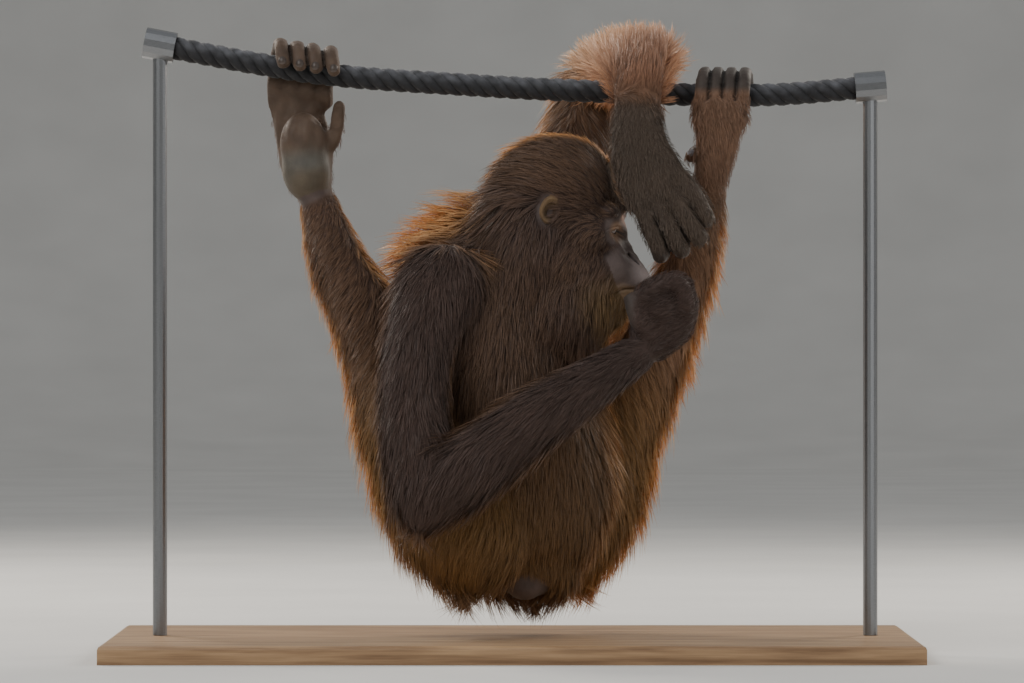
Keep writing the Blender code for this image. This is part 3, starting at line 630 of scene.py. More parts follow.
def all_digits():
    """Each finger and toe: its part, its rows and which way its nail faces."""
    found = []
    for index, lift in enumerate(RIGHT_FINGER_LIFTS):
        y = RIGHT_FINGER_NEAR_Y + RIGHT_FINGER_STEP * index
        points = [(x, y, z + lift) for x, z in RIGHT_FINGER_LINE]
        found.append(("hand_right", digit_rows(points, FINGER_RADIUS, FINGER_TIP, 30), (-0.5, 0, 1)))
    found.append(("hand_right", digit_rows(RIGHT_THUMB, FINGER_RADIUS, FINGER_TIP), (-1, 0.5, 0.2)))
    for points in LEFT_FINGERS:
        rows = digit_rows(points, LEFT_FINGER_RADIUS, LEFT_FINGER_TIP, 30)
        found.append(("hand_left", rows, (0.3, 0.4, -1)))
    found.append(("hand_left", digit_rows(LEFT_THUMB, FINGER_RADIUS, FINGER_TIP), (-0.6, -0.7, 0)))
    for x in RIGHT_TOES_X:
        found.append(("foot_right", digit_rows(toe_line(x, True), TOE_RADIUS, TOE_TIP, 34), (0, -1, 0)))
    found.append(("foot_right", digit_rows(RIGHT_HALLUX, TOE_RADIUS, TOE_TIP), (0.3, 1, 0.2)))
    for x in LEFT_TOES_X:
        found.append(("foot_left", digit_rows(toe_line(x, False), TOE_RADIUS, TOE_TIP, 34), (0, 1, 0)))
    found.append(("foot_left", digit_rows(LEFT_HALLUX, TOE_RADIUS, TOE_TIP), (-0.3, -0.8, 0.5)))
    return found


DIGITS = all_digits()


# The field: what coat grows where


def build_field():
    """Sample points inside the body, each with its part, frame, radius and coat."""
    rows = []

    def add(part, place, radius, t, across, through, along):
        keys = COAT[part]
        stops = [key[0] for key in keys]
        values = []
        for column in range(1, 7):
            column_rows = np.array([np.atleast_1d(key[column]) for key in keys], float)
            values += [np.interp(t, stops, column_rows[:, i]) for i in range(column_rows.shape[1])]
        rows.append([PARTS.index(part), *place, radius, t, *across, *through, *along, *values])

    def reach_of(line):
        return float(np.linalg.norm(np.diff(line, axis=0), axis=1).sum())

    for part, (stations, side) in LENGTHS.items():
        fine = smooth_rows(stations, FIELD_STEPS)
        along, across, through = frames_of(fine[:, :3], side)
        share = PALM_SHARE if part in ENDS else 1.0
        steps = along * share / reach_of(fine[:, :3])
        for index in range(FIELD_STEPS):
            t = share * index / (FIELD_STEPS - 1)
            radius = math.sqrt(fine[index, 3] * fine[index, 4])
            add(part, fine[index, :3], radius, t, across[index], through[index], steps[index])
    for part, digit, _ in DIGITS:
        along, across, through = frames_of(digit[:, :3], (0.3, 0.2, 1))
        steps = along * (1 - PALM_SHARE) / reach_of(digit[:, :3])
        for index in range(0, len(digit), 3):
            t = PALM_SHARE + (1 - PALM_SHARE) * index / (len(digit) - 1)
            add(part, digit[index, :3], digit[index, 3], t, across[index], through[index], steps[index])
    for place, radii in THROAT:
        add("neck", np.array(place, float), radii[0], 0.5, (1, 0, 0), (0, 1, 0), (0, 0, -1 / HEAD_SPAN))
    skull = list(SKULL)
    for side in (-1, 1):
        skull += [(mirrored(place, side), radii) for place, radii in SKULL_PAIRS[:3]]
    for place, radii in skull:
        radius = float(np.mean(radii))
        add("head", from_head([place])[0], radius, 0.0, HEAD_TURN[:, 0], HEAD_TURN[:, 1], HEAD_TURN[:, 2])
    return np.array(rows, dtype=np.float32)


FIELD = build_field()


def read_field(points, chunk=8000):
    """Part, place along it, place round it, and blended coat values at points in mm."""
    part = np.empty(len(points), dtype=int)
    t = np.empty(len(points))
    turn = np.empty(len(points))
    values = np.empty((len(points), FIELD.shape[1] - COAT_COLUMN))
    centres = FIELD[:, 1:4]
    radii = FIELD[:, 4]
    for start in range(0, len(points), chunk):
        piece = points[start : start + chunk].astype(np.float32)
        away = (piece ** 2).sum(1)[:, None] + (centres ** 2).sum(1)[None] - 2 * piece @ centres.T
        away /= radii ** 2
        near = FIELD[away.argmin(axis=1)]
        weight = 1 / np.maximum(away, 0.04)
        weight *= weight
        weight *= weight
        weight /= weight.sum(axis=1, keepdims=True)
        out = piece - near[:, 1:4]
        span = slice(start, start + len(piece))
        part[span] = near[:, 0].astype(int)
        t[span] = np.clip(near[:, 5] + (out * near[:, 12:15]).sum(1), 0, 1)
        turn[span] = np.arctan2((out * near[:, 9:12]).sum(1), (out * near[:, 6:9]).sum(1))
        values[span] = weight @ FIELD[:, COAT_COLUMN:]
    head = is_part(part, "head")
    place = to_head(points[head])
    t[head] = np.clip(0.5 + place[:, 2] / HEAD_SPAN, 0, 1)
    turn[head] = np.arctan2(place[:, 1], place[:, 0])
    return part, t, turn, values


# Skin


def body_forms():
    """Every form of flesh in one list."""
    forms = [limb_form(stations, side) for stations, side in LENGTHS.values()]
    forms.append(ellipsoid(*PERINEUM))
    forms += [ellipsoid(*throat) for throat in THROAT]
    forms += [ellipsoid(*form) for form in (RIGHT_HEEL, RIGHT_INSTEP, LEFT_HEEL, FIST_FILL)]
    forms += [tube(rows, (0.3, 0.2, 1), 20) for _, rows, _ in DIGITS]
    forms += [ellipsoid(from_head([place])[0], radii, HEAD_TURN) for place, radii in SKULL]
    for side in (-1, 1):
        for place, radii in SKULL_PAIRS:
            forms.append(ellipsoid(from_head([mirrored(place, side)])[0], radii, HEAD_TURN))
        eye = from_head([mirrored(EYE_PLACE, side)])[0]
        forms.append(ellipsoid(eye, (LID_RADIUS,) * 3, HEAD_TURN))
    return forms


def refine(mesh, wanted):
    """Split the quads whose middle is wanted into four."""
    bm = bmesh.new()
    bm.from_mesh(mesh)
    middles = np.array([face.calc_center_median() for face in bm.faces]) / MM
    chosen = wanted(middles)
    edges = {edge for face, take in zip(bm.faces, chosen) if take for edge in face.edges}
    bmesh.ops.subdivide_edges(bm, edges=list(edges), cuts=1, use_grid_fill=True)
    bm.to_mesh(mesh)
    bm.free()


def on_skin(tree, places):
    """Places in the head's frame moved onto the skin, in mm."""
    found = []
    for place in from_head(places):
        found.append(np.array(tree.find_nearest(Vector(place * MM))[0]) / MM)
    return to_head(np.array(found))


def skin_tree(mesh):
    """A search tree over the skin."""
    bm = bmesh.new()
    bm.from_mesh(mesh)
    bmesh.ops.triangulate(bm, faces=bm.faces)
    tree = BVHTree.FromBMesh(bm)
    bm.free()
    return tree


def face_line(tree, places, both_sides=True, count=40):
    """A fine line on the face through places on its left, and their mirrors."""
    if both_sides:
        places = [mirrored(place, -1) for place in places[:0:-1]] + list(places)
    return on_skin(tree, smooth_rows(places, count))


def build_skin():
    """One skin over the whole body, finest on the face, and how deep in a groove each point is."""
    verts, faces = joined(body_forms())
    skin = mesh_object("skin", verts, faces)
    melt = skin.modifiers.new("melt", "REMESH")
    melt.mode = "VOXEL"
    melt.voxel_size = BODY_VOXEL * MM
    graph = bpy.context.evaluated_depsgraph_get()
    mesh = bpy.data.meshes.new_from_object(skin.evaluated_get(graph))
    skin.modifiers.clear()
    skin.data = mesh
    places = vertex_array(mesh)
    part = read_field(places)[0]
    soft = is_part(part, *[name for name in LENGTHS if name not in ENDS])
    for rounds, firm in ((4, 0.3), (16, 0.0), (2, 0.22)):
        relax(mesh, rounds, np.where(soft, 0.5, firm))
    relax(mesh, 24, 0.6 * near_form(places, RIGHT_HEEL, 1.35))

    def on_face(middles):
        return inside(to_head(middles), FACE_BOX)

    def on_hands(middles):
        return is_part(read_field(middles)[0], *ENDS)

    refine(mesh, on_face)
    refine(mesh, on_hands)
    tree = skin_tree(mesh)
    mouth = face_line(tree, MOUTH_LINE)
    nostrils = []
    for side in (-1, 1):
        nostrils.append(face_line(tree, [mirrored(place, side) for place in NOSTRIL_LINE], False, 12))
    eyes = [np.array(mirrored(EYE_PLACE, side), float) for side in (-1, 1)]

    def on_features(middles):
        place = to_head(middles)
        close = near_line(place, mouth)[0] < 9
        for line in nostrils:
            close |= near_line(place, line)[0] < 8
        for eye in eyes:
            close |= (np.linalg.norm(place - eye, axis=1) < 20) & (place[:, 0] > 58)
        return close

    refine(mesh, on_features)
    place = to_head(vertex_array(mesh))
    around = ramp(place[:, 0], 20, 40) * ramp(place[:, 2], -125, -112) * fall(place[:, 2], 10, 30)
    around *= np.linalg.norm(place - np.array(FACE_MIDDLE), axis=1) < FACE_REACH
    relax(mesh, 5, 0.5 * around)
    grooves = part_digits(mesh)
    shape_face(mesh, mouth, nostrils, eyes)
    mesh.shade_smooth()
    return skin, grooves


def near_form(places, form, scale):
    """How far inside an enlarged upright ellipsoid places are, from 0 to 1."""
    return fall(apart(places, form), 0.5 * scale, scale)


def part_digits(mesh):
    """Press a valley between digits that lie side by side, and creases across their joints."""
    places = vertex_array(mesh)
    normals = vertex_array(mesh, "normal")
    push = np.zeros(len(places))
    grooves = np.zeros(len(places))
    for first, second in zip(DIGITS, DIGITS[1:]):
        rows = first[1]
        size = float(rows[:, 3].mean())
        low = rows[:, :3].min(axis=0) - 2 * size
        high = rows[:, :3].max(axis=0) + 2 * size
        near = np.flatnonzero(inside(places, np.stack([low, high], axis=1)))
        one, t = near_line(places[near], rows[:, :3])
        for share in JOINT_CREASES:
            push[near] -= 0.45 * bell(t, share, 0.009) * (one < 1.7 * size)
        if first[0] != second[0] or len(rows) != len(second[1]):
            continue
        two = near_line(places[near], second[1][:, :3])[0]
        valley = bell(one - two, 0, 2.6) * (one < 1.75 * size) * ramp(t, 0.12, 0.34)
        push[near] -= VALLEY_DEPTH * valley
        grooves[near] = np.maximum(grooves[near], valley)
    places += normals * push[:, None]
    foot = np.flatnonzero(inside(places, RIGHT_FOOT_BOX))
    sole = places[foot]
    lines = np.sin(sole[:, 2] * 0.3 + sole[:, 0] * 0.22 + 3.0 * wave(sole, 24))
    creases = -0.5 * ramp(lines, 0.86, 1.0) * ramp(sole[:, 2], 552, 566)
    tendons = 0.9 * np.sin(sole[:, 0] * 0.36 + 1.4 * wave(sole, 30, 1.0)) * ramp(sole[:, 2], 552, 572)
    places[foot] += normals[foot] * ((creases + tendons) * ramp(-normals[foot, 1], 0.2, 0.6))[:, None]
    set_vertices(mesh, places)
    return grooves


def eye_angles(place, eye, side):
    """The distance from an eye's middle, and the angles from the middle of its slit."""
    out = place - eye
    away = np.linalg.norm(out, axis=1)
    out = out / away[:, None]
    turn = np.arctan2(out[:, 1] * side, out[:, 0]) - EYE_OUT
    rise = np.arcsin(np.clip(out[:, 2], -1, 1)) + EYE_DOWN
    return away, turn, rise


def slit_edge(turn, rise):
    """How far outside the slit between the lids a direction is, as a share of its height."""
    across = np.clip(abs(turn) / SLIT_HALF[0], 0, 2)
    height = SLIT_HALF[1] * np.maximum(1 - across ** 2, 0) + math.radians(1.5)
    return abs(rise + 0.1 * turn) / height + 6 * np.maximum(across - 1, 0)


def shape_face(mesh, mouth, nostrils, eyes):
    """Carve the slit and folds of the lids, the nostrils, the mouth and the wrinkles."""
    places = vertex_array(mesh)
    normals = vertex_array(mesh, "normal")
    place = to_head(places)
    face = (place[:, 0] > 20) & (np.linalg.norm(place - np.array(FACE_MIDDLE), axis=1) < FACE_REACH)
    x, y, z = place.T
    away, along = near_line(place, mouth)
    ends = 0.35 + 0.65 * np.sin(np.clip(along, 0, 1) * math.pi) ** 0.6
    push = ends * (1.1 * bell(away, 4.5, 2.6) - 4.2 * bell(away, 0, 1.25))
    corner = np.minimum(np.linalg.norm(place - mouth[0], axis=1), np.linalg.norm(place - mouth[-1], axis=1))
    push -= 2.8 * bell(corner, 0, 4.0)
    for line in nostrils:
        away = near_line(place, line)[0]
        push += 0.9 * bell(away, 3.6, 1.5) - 5.4 * bell(away, 0, 1.7)
    for eye, side in zip(eyes, (-1, 1)):
        away, turn, rise = eye_angles(place, eye, side)
        close = bell(away, LID_RADIUS, 5) * (turn > -1.5) * (turn < 1.5)
        arch = rise + 0.35 * turn ** 2
        push += close * (0.5 * bell(arch, math.radians(21), 0.1) - 1.1 * bell(arch, math.radians(30), 0.07))
        for step, deep in LID_FOLDS:
            push -= deep * close * bell(rise - 0.3 * turn ** 2, math.radians(step), 0.06)
        window = bell(x, 84, 9) * bell(z, -42, 12) * ramp(y * side, 6, 14)
        push += 0.6 * window * np.sin(2.0 * (z * 0.75 + x * 0.65))
    push += 0.16 * bell(x, 118, 14) * bell(z, -64, 10) * np.sin(2.1 * y + 0.5 * np.sin(x * 0.6))
    push += 0.2 * bell(x, 104, 14) * bell(z, -96, 14) * np.sin(1.9 * y + 0.7 * np.sin(z * 0.5))
    places += normals * (push * face)[:, None]
    place = to_head(places)
    for eye, side in zip(eyes, (-1, 1)):
        away, turn, rise = eye_angles(place, eye, side)
        front = (away < 24) & (place[:, 0] > eye[0])
        outside = slit_edge(turn, rise)
        sunk = fall(outside, 0.8, 1.12)
        blend = ramp(outside, 1.5, 2.0)
        reach = (LID_RADIUS - 0.7 + 0.5 * bell(outside, 1.25, 0.16)) * (1 - blend) + away * blend
        reach = reach * (1 - sunk) + (EYE_RADIUS - 1.4) * sunk
        moved = eye + (place - eye) / away[:, None] * reach[:, None]
        place = np.where(front[:, None], moved, place)
    set_vertices(mesh, from_head(place))


def bare_share(places, normals, part):
    """How bare of hair the skin is: face, palms, soles, heel and the bulge below."""
    place = to_head(places)
    level = places[:, 2]
    behind = normals[:, 1]
    head = is_part(part, "head")
    hand_right, hand_left, foot_right, foot_left = (is_part(part, name) for name in ENDS)
    above_chin = ramp(place[:, 2] + 0.35 * place[:, 0], -58, -50)
    shares = [
        head * fall(apart(place, SNOUT_PATCH), 0.92, 1.15) * above_chin,
        head * fall(apart(place, BRIDGE_PATCH), 0.9, 1.2),
        head * fall(apart(place, BROW_PATCH), 0.9, 1.2),
        fall(apart(places, PERINEUM, grow=4), 0.9, 1.15),
        foot_right * ramp(-behind, -0.35, 0.0),
        foot_right * ramp(level, 590, 606),
        foot_left * ramp(behind, 0.0, 0.4),
        foot_left * ramp(level, 612, 624),
        hand_left * ramp(behind, 0.1, 0.5),
        0.8 * hand_left * fall(level, 432, 452),
        hand_right * fall(places[:, 0], 122, 136),
        fall(apart(places, RIGHT_HEEL, grow=3), 0.95, 1.1) * ramp(-behind, -0.3, 0.1),
    ]
    for side in (-1, 1):
        shares.append(head * fall(apart(place, ORBIT_PATCH, side), 0.9, 1.2))
        shares.append(fall(apart(place, EAR_PATCH, side), 0.7, 1.0))
    return np.maximum.reduce(shares)


def mix(first, second, share):
    """Rows of numbers mixed point by point."""
    share = np.asarray(share)[:, None]
    return first * (1 - share) + np.asarray(second) * share


def wave(places, size, phase=0.0):
    """A soft irregular pattern from -1 to 1 over places in mm."""
    x, y, z = (places / size).T
    total = np.sin(x * 1.3 + 1.7 * np.sin(y * 0.9 + phase) + 0.6 * z)
    total += np.sin(y * 1.7 + 1.3 * np.sin(z * 1.1 + phase * 2) - 0.5 * x)
    return (total + np.sin(z * 1.5 + 1.5 * np.sin(x * 0.8 - phase) + 0.7 * y)) / 3


def coat_colours(places, normals, values):
    """The coat's colour at its roots and at its tips, with painted shade toward the camera and painted back
    light away from it.
    """
    front = values[:, 5:8]
    back = values[:, 8:11]
    # Painted light: toward the camera the front colour stands for painted shade, away from it the back
    # colour for painted back light.
    facing = ramp(normals[:, 1] + 0.1 * wave(places, 26), -0.45, 0.2)
    root = mix(front, back, facing * 0.7)
    root = mix(root, TAN, 0.75 * fall(apart(to_head(places), JAW_TINT), 0.5, 1.3))
    root = root * (1 + 0.12 * wave(places, 14, 1.0)[:, None])
    # Tips are lighter than roots, and away from the camera they take the back colour as painted back light.
    tip = mix(root * 1.2, back * 1.1, 0.1 + 0.8 * facing)
    behind = 0.65 * ramp(normals[:, 1], 0.25, 0.85)
    copper = np.array(COPPER)
    return mix(root, copper * 0.8, behind), mix(tip, copper * 1.2, behind)


def skin_colours(places, normals, part, values, bare, grooves):
    """The skin's colour, from the same markings, painted shade and painted back light as the coat."""
    # Under the hair the skin takes the coat's root colour, its painted shade and back light included.
    haired = coat_colours(places, normals, values)[0] * 0.75 + np.array(SKIN_BODY) * 0.12
    place = to_head(places)
    head = is_part(part, "head")
    foot_right = is_part(part, "foot_right")
    plain = np.tile(SKIN_FACE, (len(places), 1))
    plain[is_part(part, "hand_right", "hand_left", "foot_left")] = SKIN_HAND
    plain[foot_right] = SKIN_SOLE
    plain = mix(plain, SKIN_MUZZLE, head * fall(apart(place, MUZZLE_TINT), 0.5, 1.25))
    lips = head * 0.75 * fall(apart(place, LIP_TINT), 0.6, 1.1) * ramp(-place[:, 2], 64, 74)
    plain = mix(plain, SKIN_LIP, lips)
    for side in (-1, 1):
        plain = mix(plain, SKIN_LID, 0.8 * fall(apart(place, LID_TINT, side), 0.5, 1.2))
        away, turn, rise = eye_angles(place, np.array(mirrored(EYE_PLACE, side), float), side)
        plain = mix(plain, INK, (away < EYE_RADIUS + 3) * fall(slit_edge(turn, rise), 0.9, 1.15))
        # Painted shade: the nostrils painted nearly black.
        nostril = near_line(place, np.array([mirrored(point, side) for point in NOSTRIL_LINE], float))[0]
        plain = mix(plain, INK, 0.9 * head * fall(nostril, 1.4, 3.4))
    plain = mix(plain, SKIN_BROW, 0.8 * head * fall(apart(place, BROW_TINT), 0.6, 1.2))
    # Painted shade: a dark pit at each corner of the mouth.
    for side in (-1, 1):
        corner = np.linalg.norm(place - np.array(mirrored(MOUTH_LINE[-1], side)), axis=1)
        plain = mix(plain, INK, 0.7 * head * fall(corner, 2.0, 6.0))
    heel = foot_right * near_form(places, RIGHT_HEEL, 1.4)
    cold = ramp(wave(places, 16, 1.0) + (places[:, 2] - RIGHT_HEEL[0][2]) / 60, -0.2, 0.7)
    plain = mix(plain, SKIN_HEEL, heel)
    plain = mix(plain, SKIN_HEEL_COLD, 0.8 * heel * cold)
    plain = plain * (1 + 0.1 * wave(places, 5)[:, None] + 0.08 * wave(places, 17, 2.0)[:, None])
    # Painted shade: darker in the valleys between digits.
    return mix(haired, plain, bare) * (1 - 0.7 * grooves)[:, None]


def add_colour(mesh, colours):
    """Keep a colour for each vertex."""
    layer = mesh.color_attributes.new("Tone", "FLOAT_COLOR", "POINT")
    full = np.ones((len(mesh.vertices), 4), dtype=np.float32)
    full[:, :3] = np.clip(colours, 0.002, 1)
    layer.data.foreach_set("color", full.ravel())


# Materials


class Paint:
    """A Principled material and short ways to add the nodes that vary it."""

    def __init__(self, name, roughness, specular=0.5, coat=0.0, sheen=0.0, metallic=0.0):
        self.made = bpy.data.materials.new(name)
        self.made.use_nodes = True
        self.tree = self.made.node_tree
        self.shader = self.tree.nodes["Principled BSDF"]
        self.shader.inputs["Roughness"].default_value = roughness
        self.shader.inputs["Specular IOR Level"].default_value = specular
        self.shader.inputs["Coat Weight"].default_value = coat
        self.shader.inputs["Sheen Weight"].default_value = sheen
        self.shader.inputs["Metallic"].default_value = metallic

    def node(self, kind, **settings):
        made = self.tree.nodes.new(kind)
        for name, value in settings.items():
            setattr(made, name, value)
        return made

    def link(self, source, target):
        self.tree.links.new(source, target)

    def place(self, scale=(1, 1, 1)):
        """Object coordinates, stretched."""
        coordinates = self.node("ShaderNodeTexCoord")
        mapping = self.node("ShaderNodeMapping")
        mapping.inputs["Scale"].default_value = scale
        self.link(coordinates.outputs["Object"], mapping.inputs["Vector"])
        return mapping.outputs["Vector"]

    def noise(self, scale, detail=4.0, stretch=(1, 1, 1), kind="ShaderNodeTexNoise"):
        made = self.node(kind)
        made.inputs["Scale"].default_value = scale
        if kind == "ShaderNodeTexNoise":
            made.inputs["Detail"].default_value = detail
        self.link(self.place(stretch), made.inputs["Vector"])
        return made.outputs[0]

    def span(self, value, low, high, source_low=0.3, source_high=0.7):
        """A value moved to another range."""
        made = self.node("ShaderNodeMapRange")
        made.inputs["From Min"].default_value = source_low
        made.inputs["From Max"].default_value = source_high
        made.inputs["To Min"].default_value = low
        made.inputs["To Max"].default_value = high
        self.link(value, made.inputs["Value"])
        return made.outputs["Result"]

    def tint(self, colour, value):
        """A colour made lighter and darker by a value."""
        made = self.node("ShaderNodeVectorMath", operation="SCALE")
        self.link(colour, made.inputs[0])
        self.link(value, made.inputs["Scale"])
        return made.outputs["Vector"]

    def blend(self, first, second, value):
        """Two fixed colours mixed by a value."""
        made = self.node("ShaderNodeMix", data_type="RGBA")
        for socket in made.inputs:
            if socket.name == "A" and socket.type == "RGBA":
                socket.default_value = (*first, 1)
            if socket.name == "B" and socket.type == "RGBA":
                socket.default_value = (*second, 1)
        self.link(value, made.inputs["Factor"])
        return [socket for socket in made.outputs if socket.type == "RGBA"][0]

    def painted(self):
        """The colour painted on the vertices."""
        return self.node("ShaderNodeAttribute", attribute_name="Tone").outputs["Color"]

    def colour(self, socket):
        self.link(socket, self.shader.inputs["Base Color"])

    def bump(self, heights, distance):
        """Bump from several heights, each with its strength."""
        before = None
        for height, strength in heights:
            made = self.node("ShaderNodeBump")
            made.inputs["Strength"].default_value = strength
            made.inputs["Distance"].default_value = distance
            self.link(height, made.inputs["Height"])
            if before:
                self.link(before, made.inputs["Normal"])
            before = made.outputs["Normal"]
        self.link(before, self.shader.inputs["Normal"])


def skin_material():
    """Skin: creased and pored, its colour painted on its vertices."""
    paint = Paint("skin_finish", 0.6, 0.3, sheen=0.06)
    pores = paint.noise(900, 3)
    creases = paint.noise(260, 5, (1, 1, 0.45))
    blotches = paint.noise(60, 4)
    paint.colour(paint.tint(paint.painted(), paint.span(blotches, 0.82, 1.16)))
    paint.link(paint.span(creases, 0.54, 0.74), paint.shader.inputs["Roughness"])
    cells = paint.noise(520, kind="ShaderNodeTexVoronoi")
    paint.bump(((pores, 0.25), (creases, 0.45), (cells, 0.25)), 0.0006)
    return paint.made


def coat_material():
    """Hair: its colour painted from root to tip, with a soft gloss."""
    paint = Paint("coat_finish", 0.52, 0.32, sheen=0.15)
    strands = paint.noise(700, 2, (1, 1, 0.3))
    paint.colour(paint.tint(paint.painted(), paint.span(strands, 0.86, 1.14)))
    return paint.made


def rope_material():
    """Dark laid rope with dusty blotches, its painted highlight on top and painted shade between strands
    coming from its vertex colours, with fine yarns across each strand.
    """
    paint = Paint("rope_finish", 0.78, 0.3, sheen=0.1)
    dust = paint.noise(120, 5)
    yarns = paint.noise(1500, 2, (0.25, 1, 1))
    paint.colour(paint.tint(paint.painted(), paint.span(dust, 0.7, 1.35)))
    paint.bump(((yarns, 0.4), (dust, 0.3)), 0.0008)
    return paint.made


def wood_material():
    """Pale oiled wood with long grain."""
    paint = Paint("base_finish", 0.45, 0.4, coat=0.08)
    grain = paint.noise(30, 6, (0.25, 4.5, 4.5))
    fine = paint.noise(160, 4, (0.12, 5, 5))
    colour = paint.blend(tone(128, 98, 70), tone(186, 152, 114), paint.span(grain, 0, 1))
    paint.colour(paint.tint(colour, paint.span(fine, 0.86, 1.1)))
    paint.link(paint.span(fine, 0.38, 0.55), paint.shader.inputs["Roughness"])
    paint.bump(((fine, 0.15),), 0.0004)
    return paint.made


def metal_material():
    """Satin metal, brushed round the rods."""
    paint = Paint("rod_finish", 0.32, 0.5, metallic=1.0)
    brushed = paint.noise(260, 3, (1, 1, 9))
    paint.colour(paint.blend(tone(134, 136, 139), tone(146, 148, 151), paint.span(brushed, 0, 1)))
    paint.link(paint.span(brushed, 0.3, 0.38), paint.shader.inputs["Roughness"])
    paint.bump(((brushed, 0.05),), 0.0001)
    return paint.made


def floor_material():
    """A plain pale floor."""
    paint = Paint("floor_finish", 0.85, 0.2)
    grain = paint.noise(3, 2)
    paint.colour(paint.blend(tone(214, 213, 210), tone(222, 221, 218), paint.span(grain, 0, 1)))
    return paint.made


def nail_material():
    """Nails: smooth, dark at the root and paler at the edge."""
    paint = Paint("nail_finish", 0.42, 0.4, coat=0.08)
    streaks = paint.noise(600, 2, (0.3, 0.3, 1))
    paint.colour(paint.tint(paint.painted(), paint.span(streaks, 0.85, 1.15)))
    return paint.made


def eye_material():
    """A wet eye."""
    paint = Paint("eye_finish", 0.12, 0.6, coat=1.0)
    veins = paint.noise(400, 4)
    paint.shader.inputs["Coat Roughness"].default_value = 0.03
    paint.colour(paint.tint(paint.painted(), paint.span(veins, 0.9, 1.1)))
    return paint.made


# Coat: points of a hair, numbers of hairs, how they gather and stray, their shape and shades, and the
# painted shade at their roots

POINTS = 5
STEPS = POINTS - 1
GUIDES = 12000
HAIRS = 200000
ROOT_SINK = 0.8
GATHER = 0.2
STRAY = 0.05
CURL = 0.012
FACE_FRONT = (92, 0, -50)
HAIR_TAPER = (0.8, 1.0, 0.85, 0.55)
TONE_STEPS = (0, 0, 0.3, 0.3, 0.6, 0.6, 0.85, 0.85, 1.0)
ROOT_PAINTED_SHADE = 0.78
HAIR_CORNERS = (
    (-1, -1), (1, -1), (-1, -0.4), (1, -0.4), (-1, 0.2), (1, 0.2), (-0.8, 0.7), (0.8, 0.7), (0, 1))
HAIR_SPOT = 0.0015
SHEET_COLUMNS = 4
CELL_EDGE = 0.03


def triangles_of(mesh):
    """Corners of a mesh's triangles."""
    mesh.calc_loop_triangles()
    corners = np.empty(len(mesh.loop_triangles) * 3, dtype=np.int32)
    mesh.loop_triangles.foreach_get("vertices", corners)
    return corners.reshape(-1, 3)


def scatter(places, normals, corners, weight, count):
    """Points on a mesh, closer where its weight is higher, with their normals."""
    a, b, c = (places[corners[:, i]] for i in range(3))
    area = np.linalg.norm(np.cross(b - a, c - a), axis=1) / 2
    share = area * weight[corners].mean(axis=1)
    total = np.cumsum(share)
    chosen = np.searchsorted(total, (np.arange(count) + DRAW.random(count)) / count * total[-1])
    chosen = np.minimum(chosen, len(corners) - 1)
    u = np.sqrt(DRAW.random(count))
    v = DRAW.random(count)
    bary = np.stack([1 - u, u * (1 - v), u * v], axis=1)
    points = (places[corners[chosen]] * bary[:, :, None]).sum(axis=1)
    outs = unit((normals[corners[chosen]] * bary[:, :, None]).sum(axis=1))
    return points, outs


def head_lie(place, length, lift):
    """On the head the hair sweeps back over the scalp and down the cheeks."""
    down = ramp(-place[:, 2], 0, 45)
    back = ramp(-place[:, 0], 0, 50)
    out = 0.15 * np.sign(place[:, 1]) * (1 - down)
    turned = unit(np.stack([down - 1, out, 0.15 - 1.1 * down - 0.5 * back], axis=1) @ HEAD_TURN.T)
    near_face = fall(np.linalg.norm(place - np.array(FACE_FRONT), axis=1), 45, 105)
    length = length * (1 - 0.62 * near_face) * (1 + 0.9 * back)
    return turned, length, lift * (1 + 0.8 * back)


def combed(places, normals, values, part):
    """Each main hair's direction, length and lift, from the field and from where it grows."""
    head = is_part(part, "head")
    place = to_head(places)
    turned, longer, higher = head_lie(place, values[:, 3], values[:, 4])
    lie = np.where(head[:, None], turned, unit(values[:, 0:3]))
    length = np.where(head, longer, values[:, 3])
    lift = np.where(head, higher, values[:, 4])
    beard = ramp(-place[:, 2], 84, 100) * ramp(place[:, 0], 40, 70) * fall(abs(place[:, 1]), 34, 52)
    beard *= is_part(part, "head", "neck")
    lie = mix(lie, (0.25, -0.15, -1.0), beard)
    length = length + 14 * beard
    shaggy = ~is_part(part, "head", *ENDS)
    front = ramp(-normals[:, 1], 0.0, 0.75) * shaggy
    edge = bell(normals[:, 1], 0.05, 0.4) * shaggy
    length = length * (1 - 0.42 * front) * (1 + 0.12 * edge)
    lift = lift * (1 - 0.35 * front) * (1 + 0.5 * edge)
    length = length * (0.3 + 0.7 * ramp(apart(places, PERINEUM), 1.0, 2.2))
    mane = ramp(places[:, 2], 385, 425) * ramp(-normals[:, 0], -0.1, 0.5) * ramp(normals[:, 1], -0.35, 0.1)
    mane *= is_part(part, "torso", "neck")
    lie = mix(lie, (-0.75, 0.2, 0.3), mane)
    length = length * (1 + 0.4 * mane)
    lift = lift + 0.7 * mane
    lie += 0.16 * np.stack([wave(places, 22, phase) for phase in (0.0, 2.0, 4.0)], axis=1)
    lie += DRAW.normal(0, 0.07, lie.shape)
    lie = unit(lie - normals * (lie * normals).sum(1)[:, None] * 0.85)
    return lie, length * DRAW.uniform(0.75, 1.15, len(places)), lift


def grow_guides(places, normals, values, part, tree):
    """The main hairs: paths over the body that keep clear of the skin."""
    lie, length, lift = combed(places, normals, values, part)
    path = np.empty((len(places), POINTS, 3))
    path[:, 0] = places - normals * ROOT_SINK
    here = places.copy()
    out = normals.copy()
    for step in range(1, POINTS):
        share = step / STEPS
        rise = lift * (1.15 - 0.75 * share)
        way = unit(lie + out * rise[:, None] + np.array((0, 0, -0.12 * share)))
        here = here + way * (length / STEPS)[:, None]
        least = 1.2 + 3.2 * share
        for index in range(len(here)):
            near, normal, *_ = tree.find_nearest(Vector(here[index] * MM))
            normal = np.array(normal)
            height = (here[index] - np.array(near) / MM) @ normal
            if height < least:
                here[index] = here[index] + normal * (least - height)
                out[index] = out[index] * 0.5 + normal * 0.5
        lie = unit(lie - out * (lie * out).sum(1)[:, None] * 0.5)
        path[:, step] = here
    return path, length


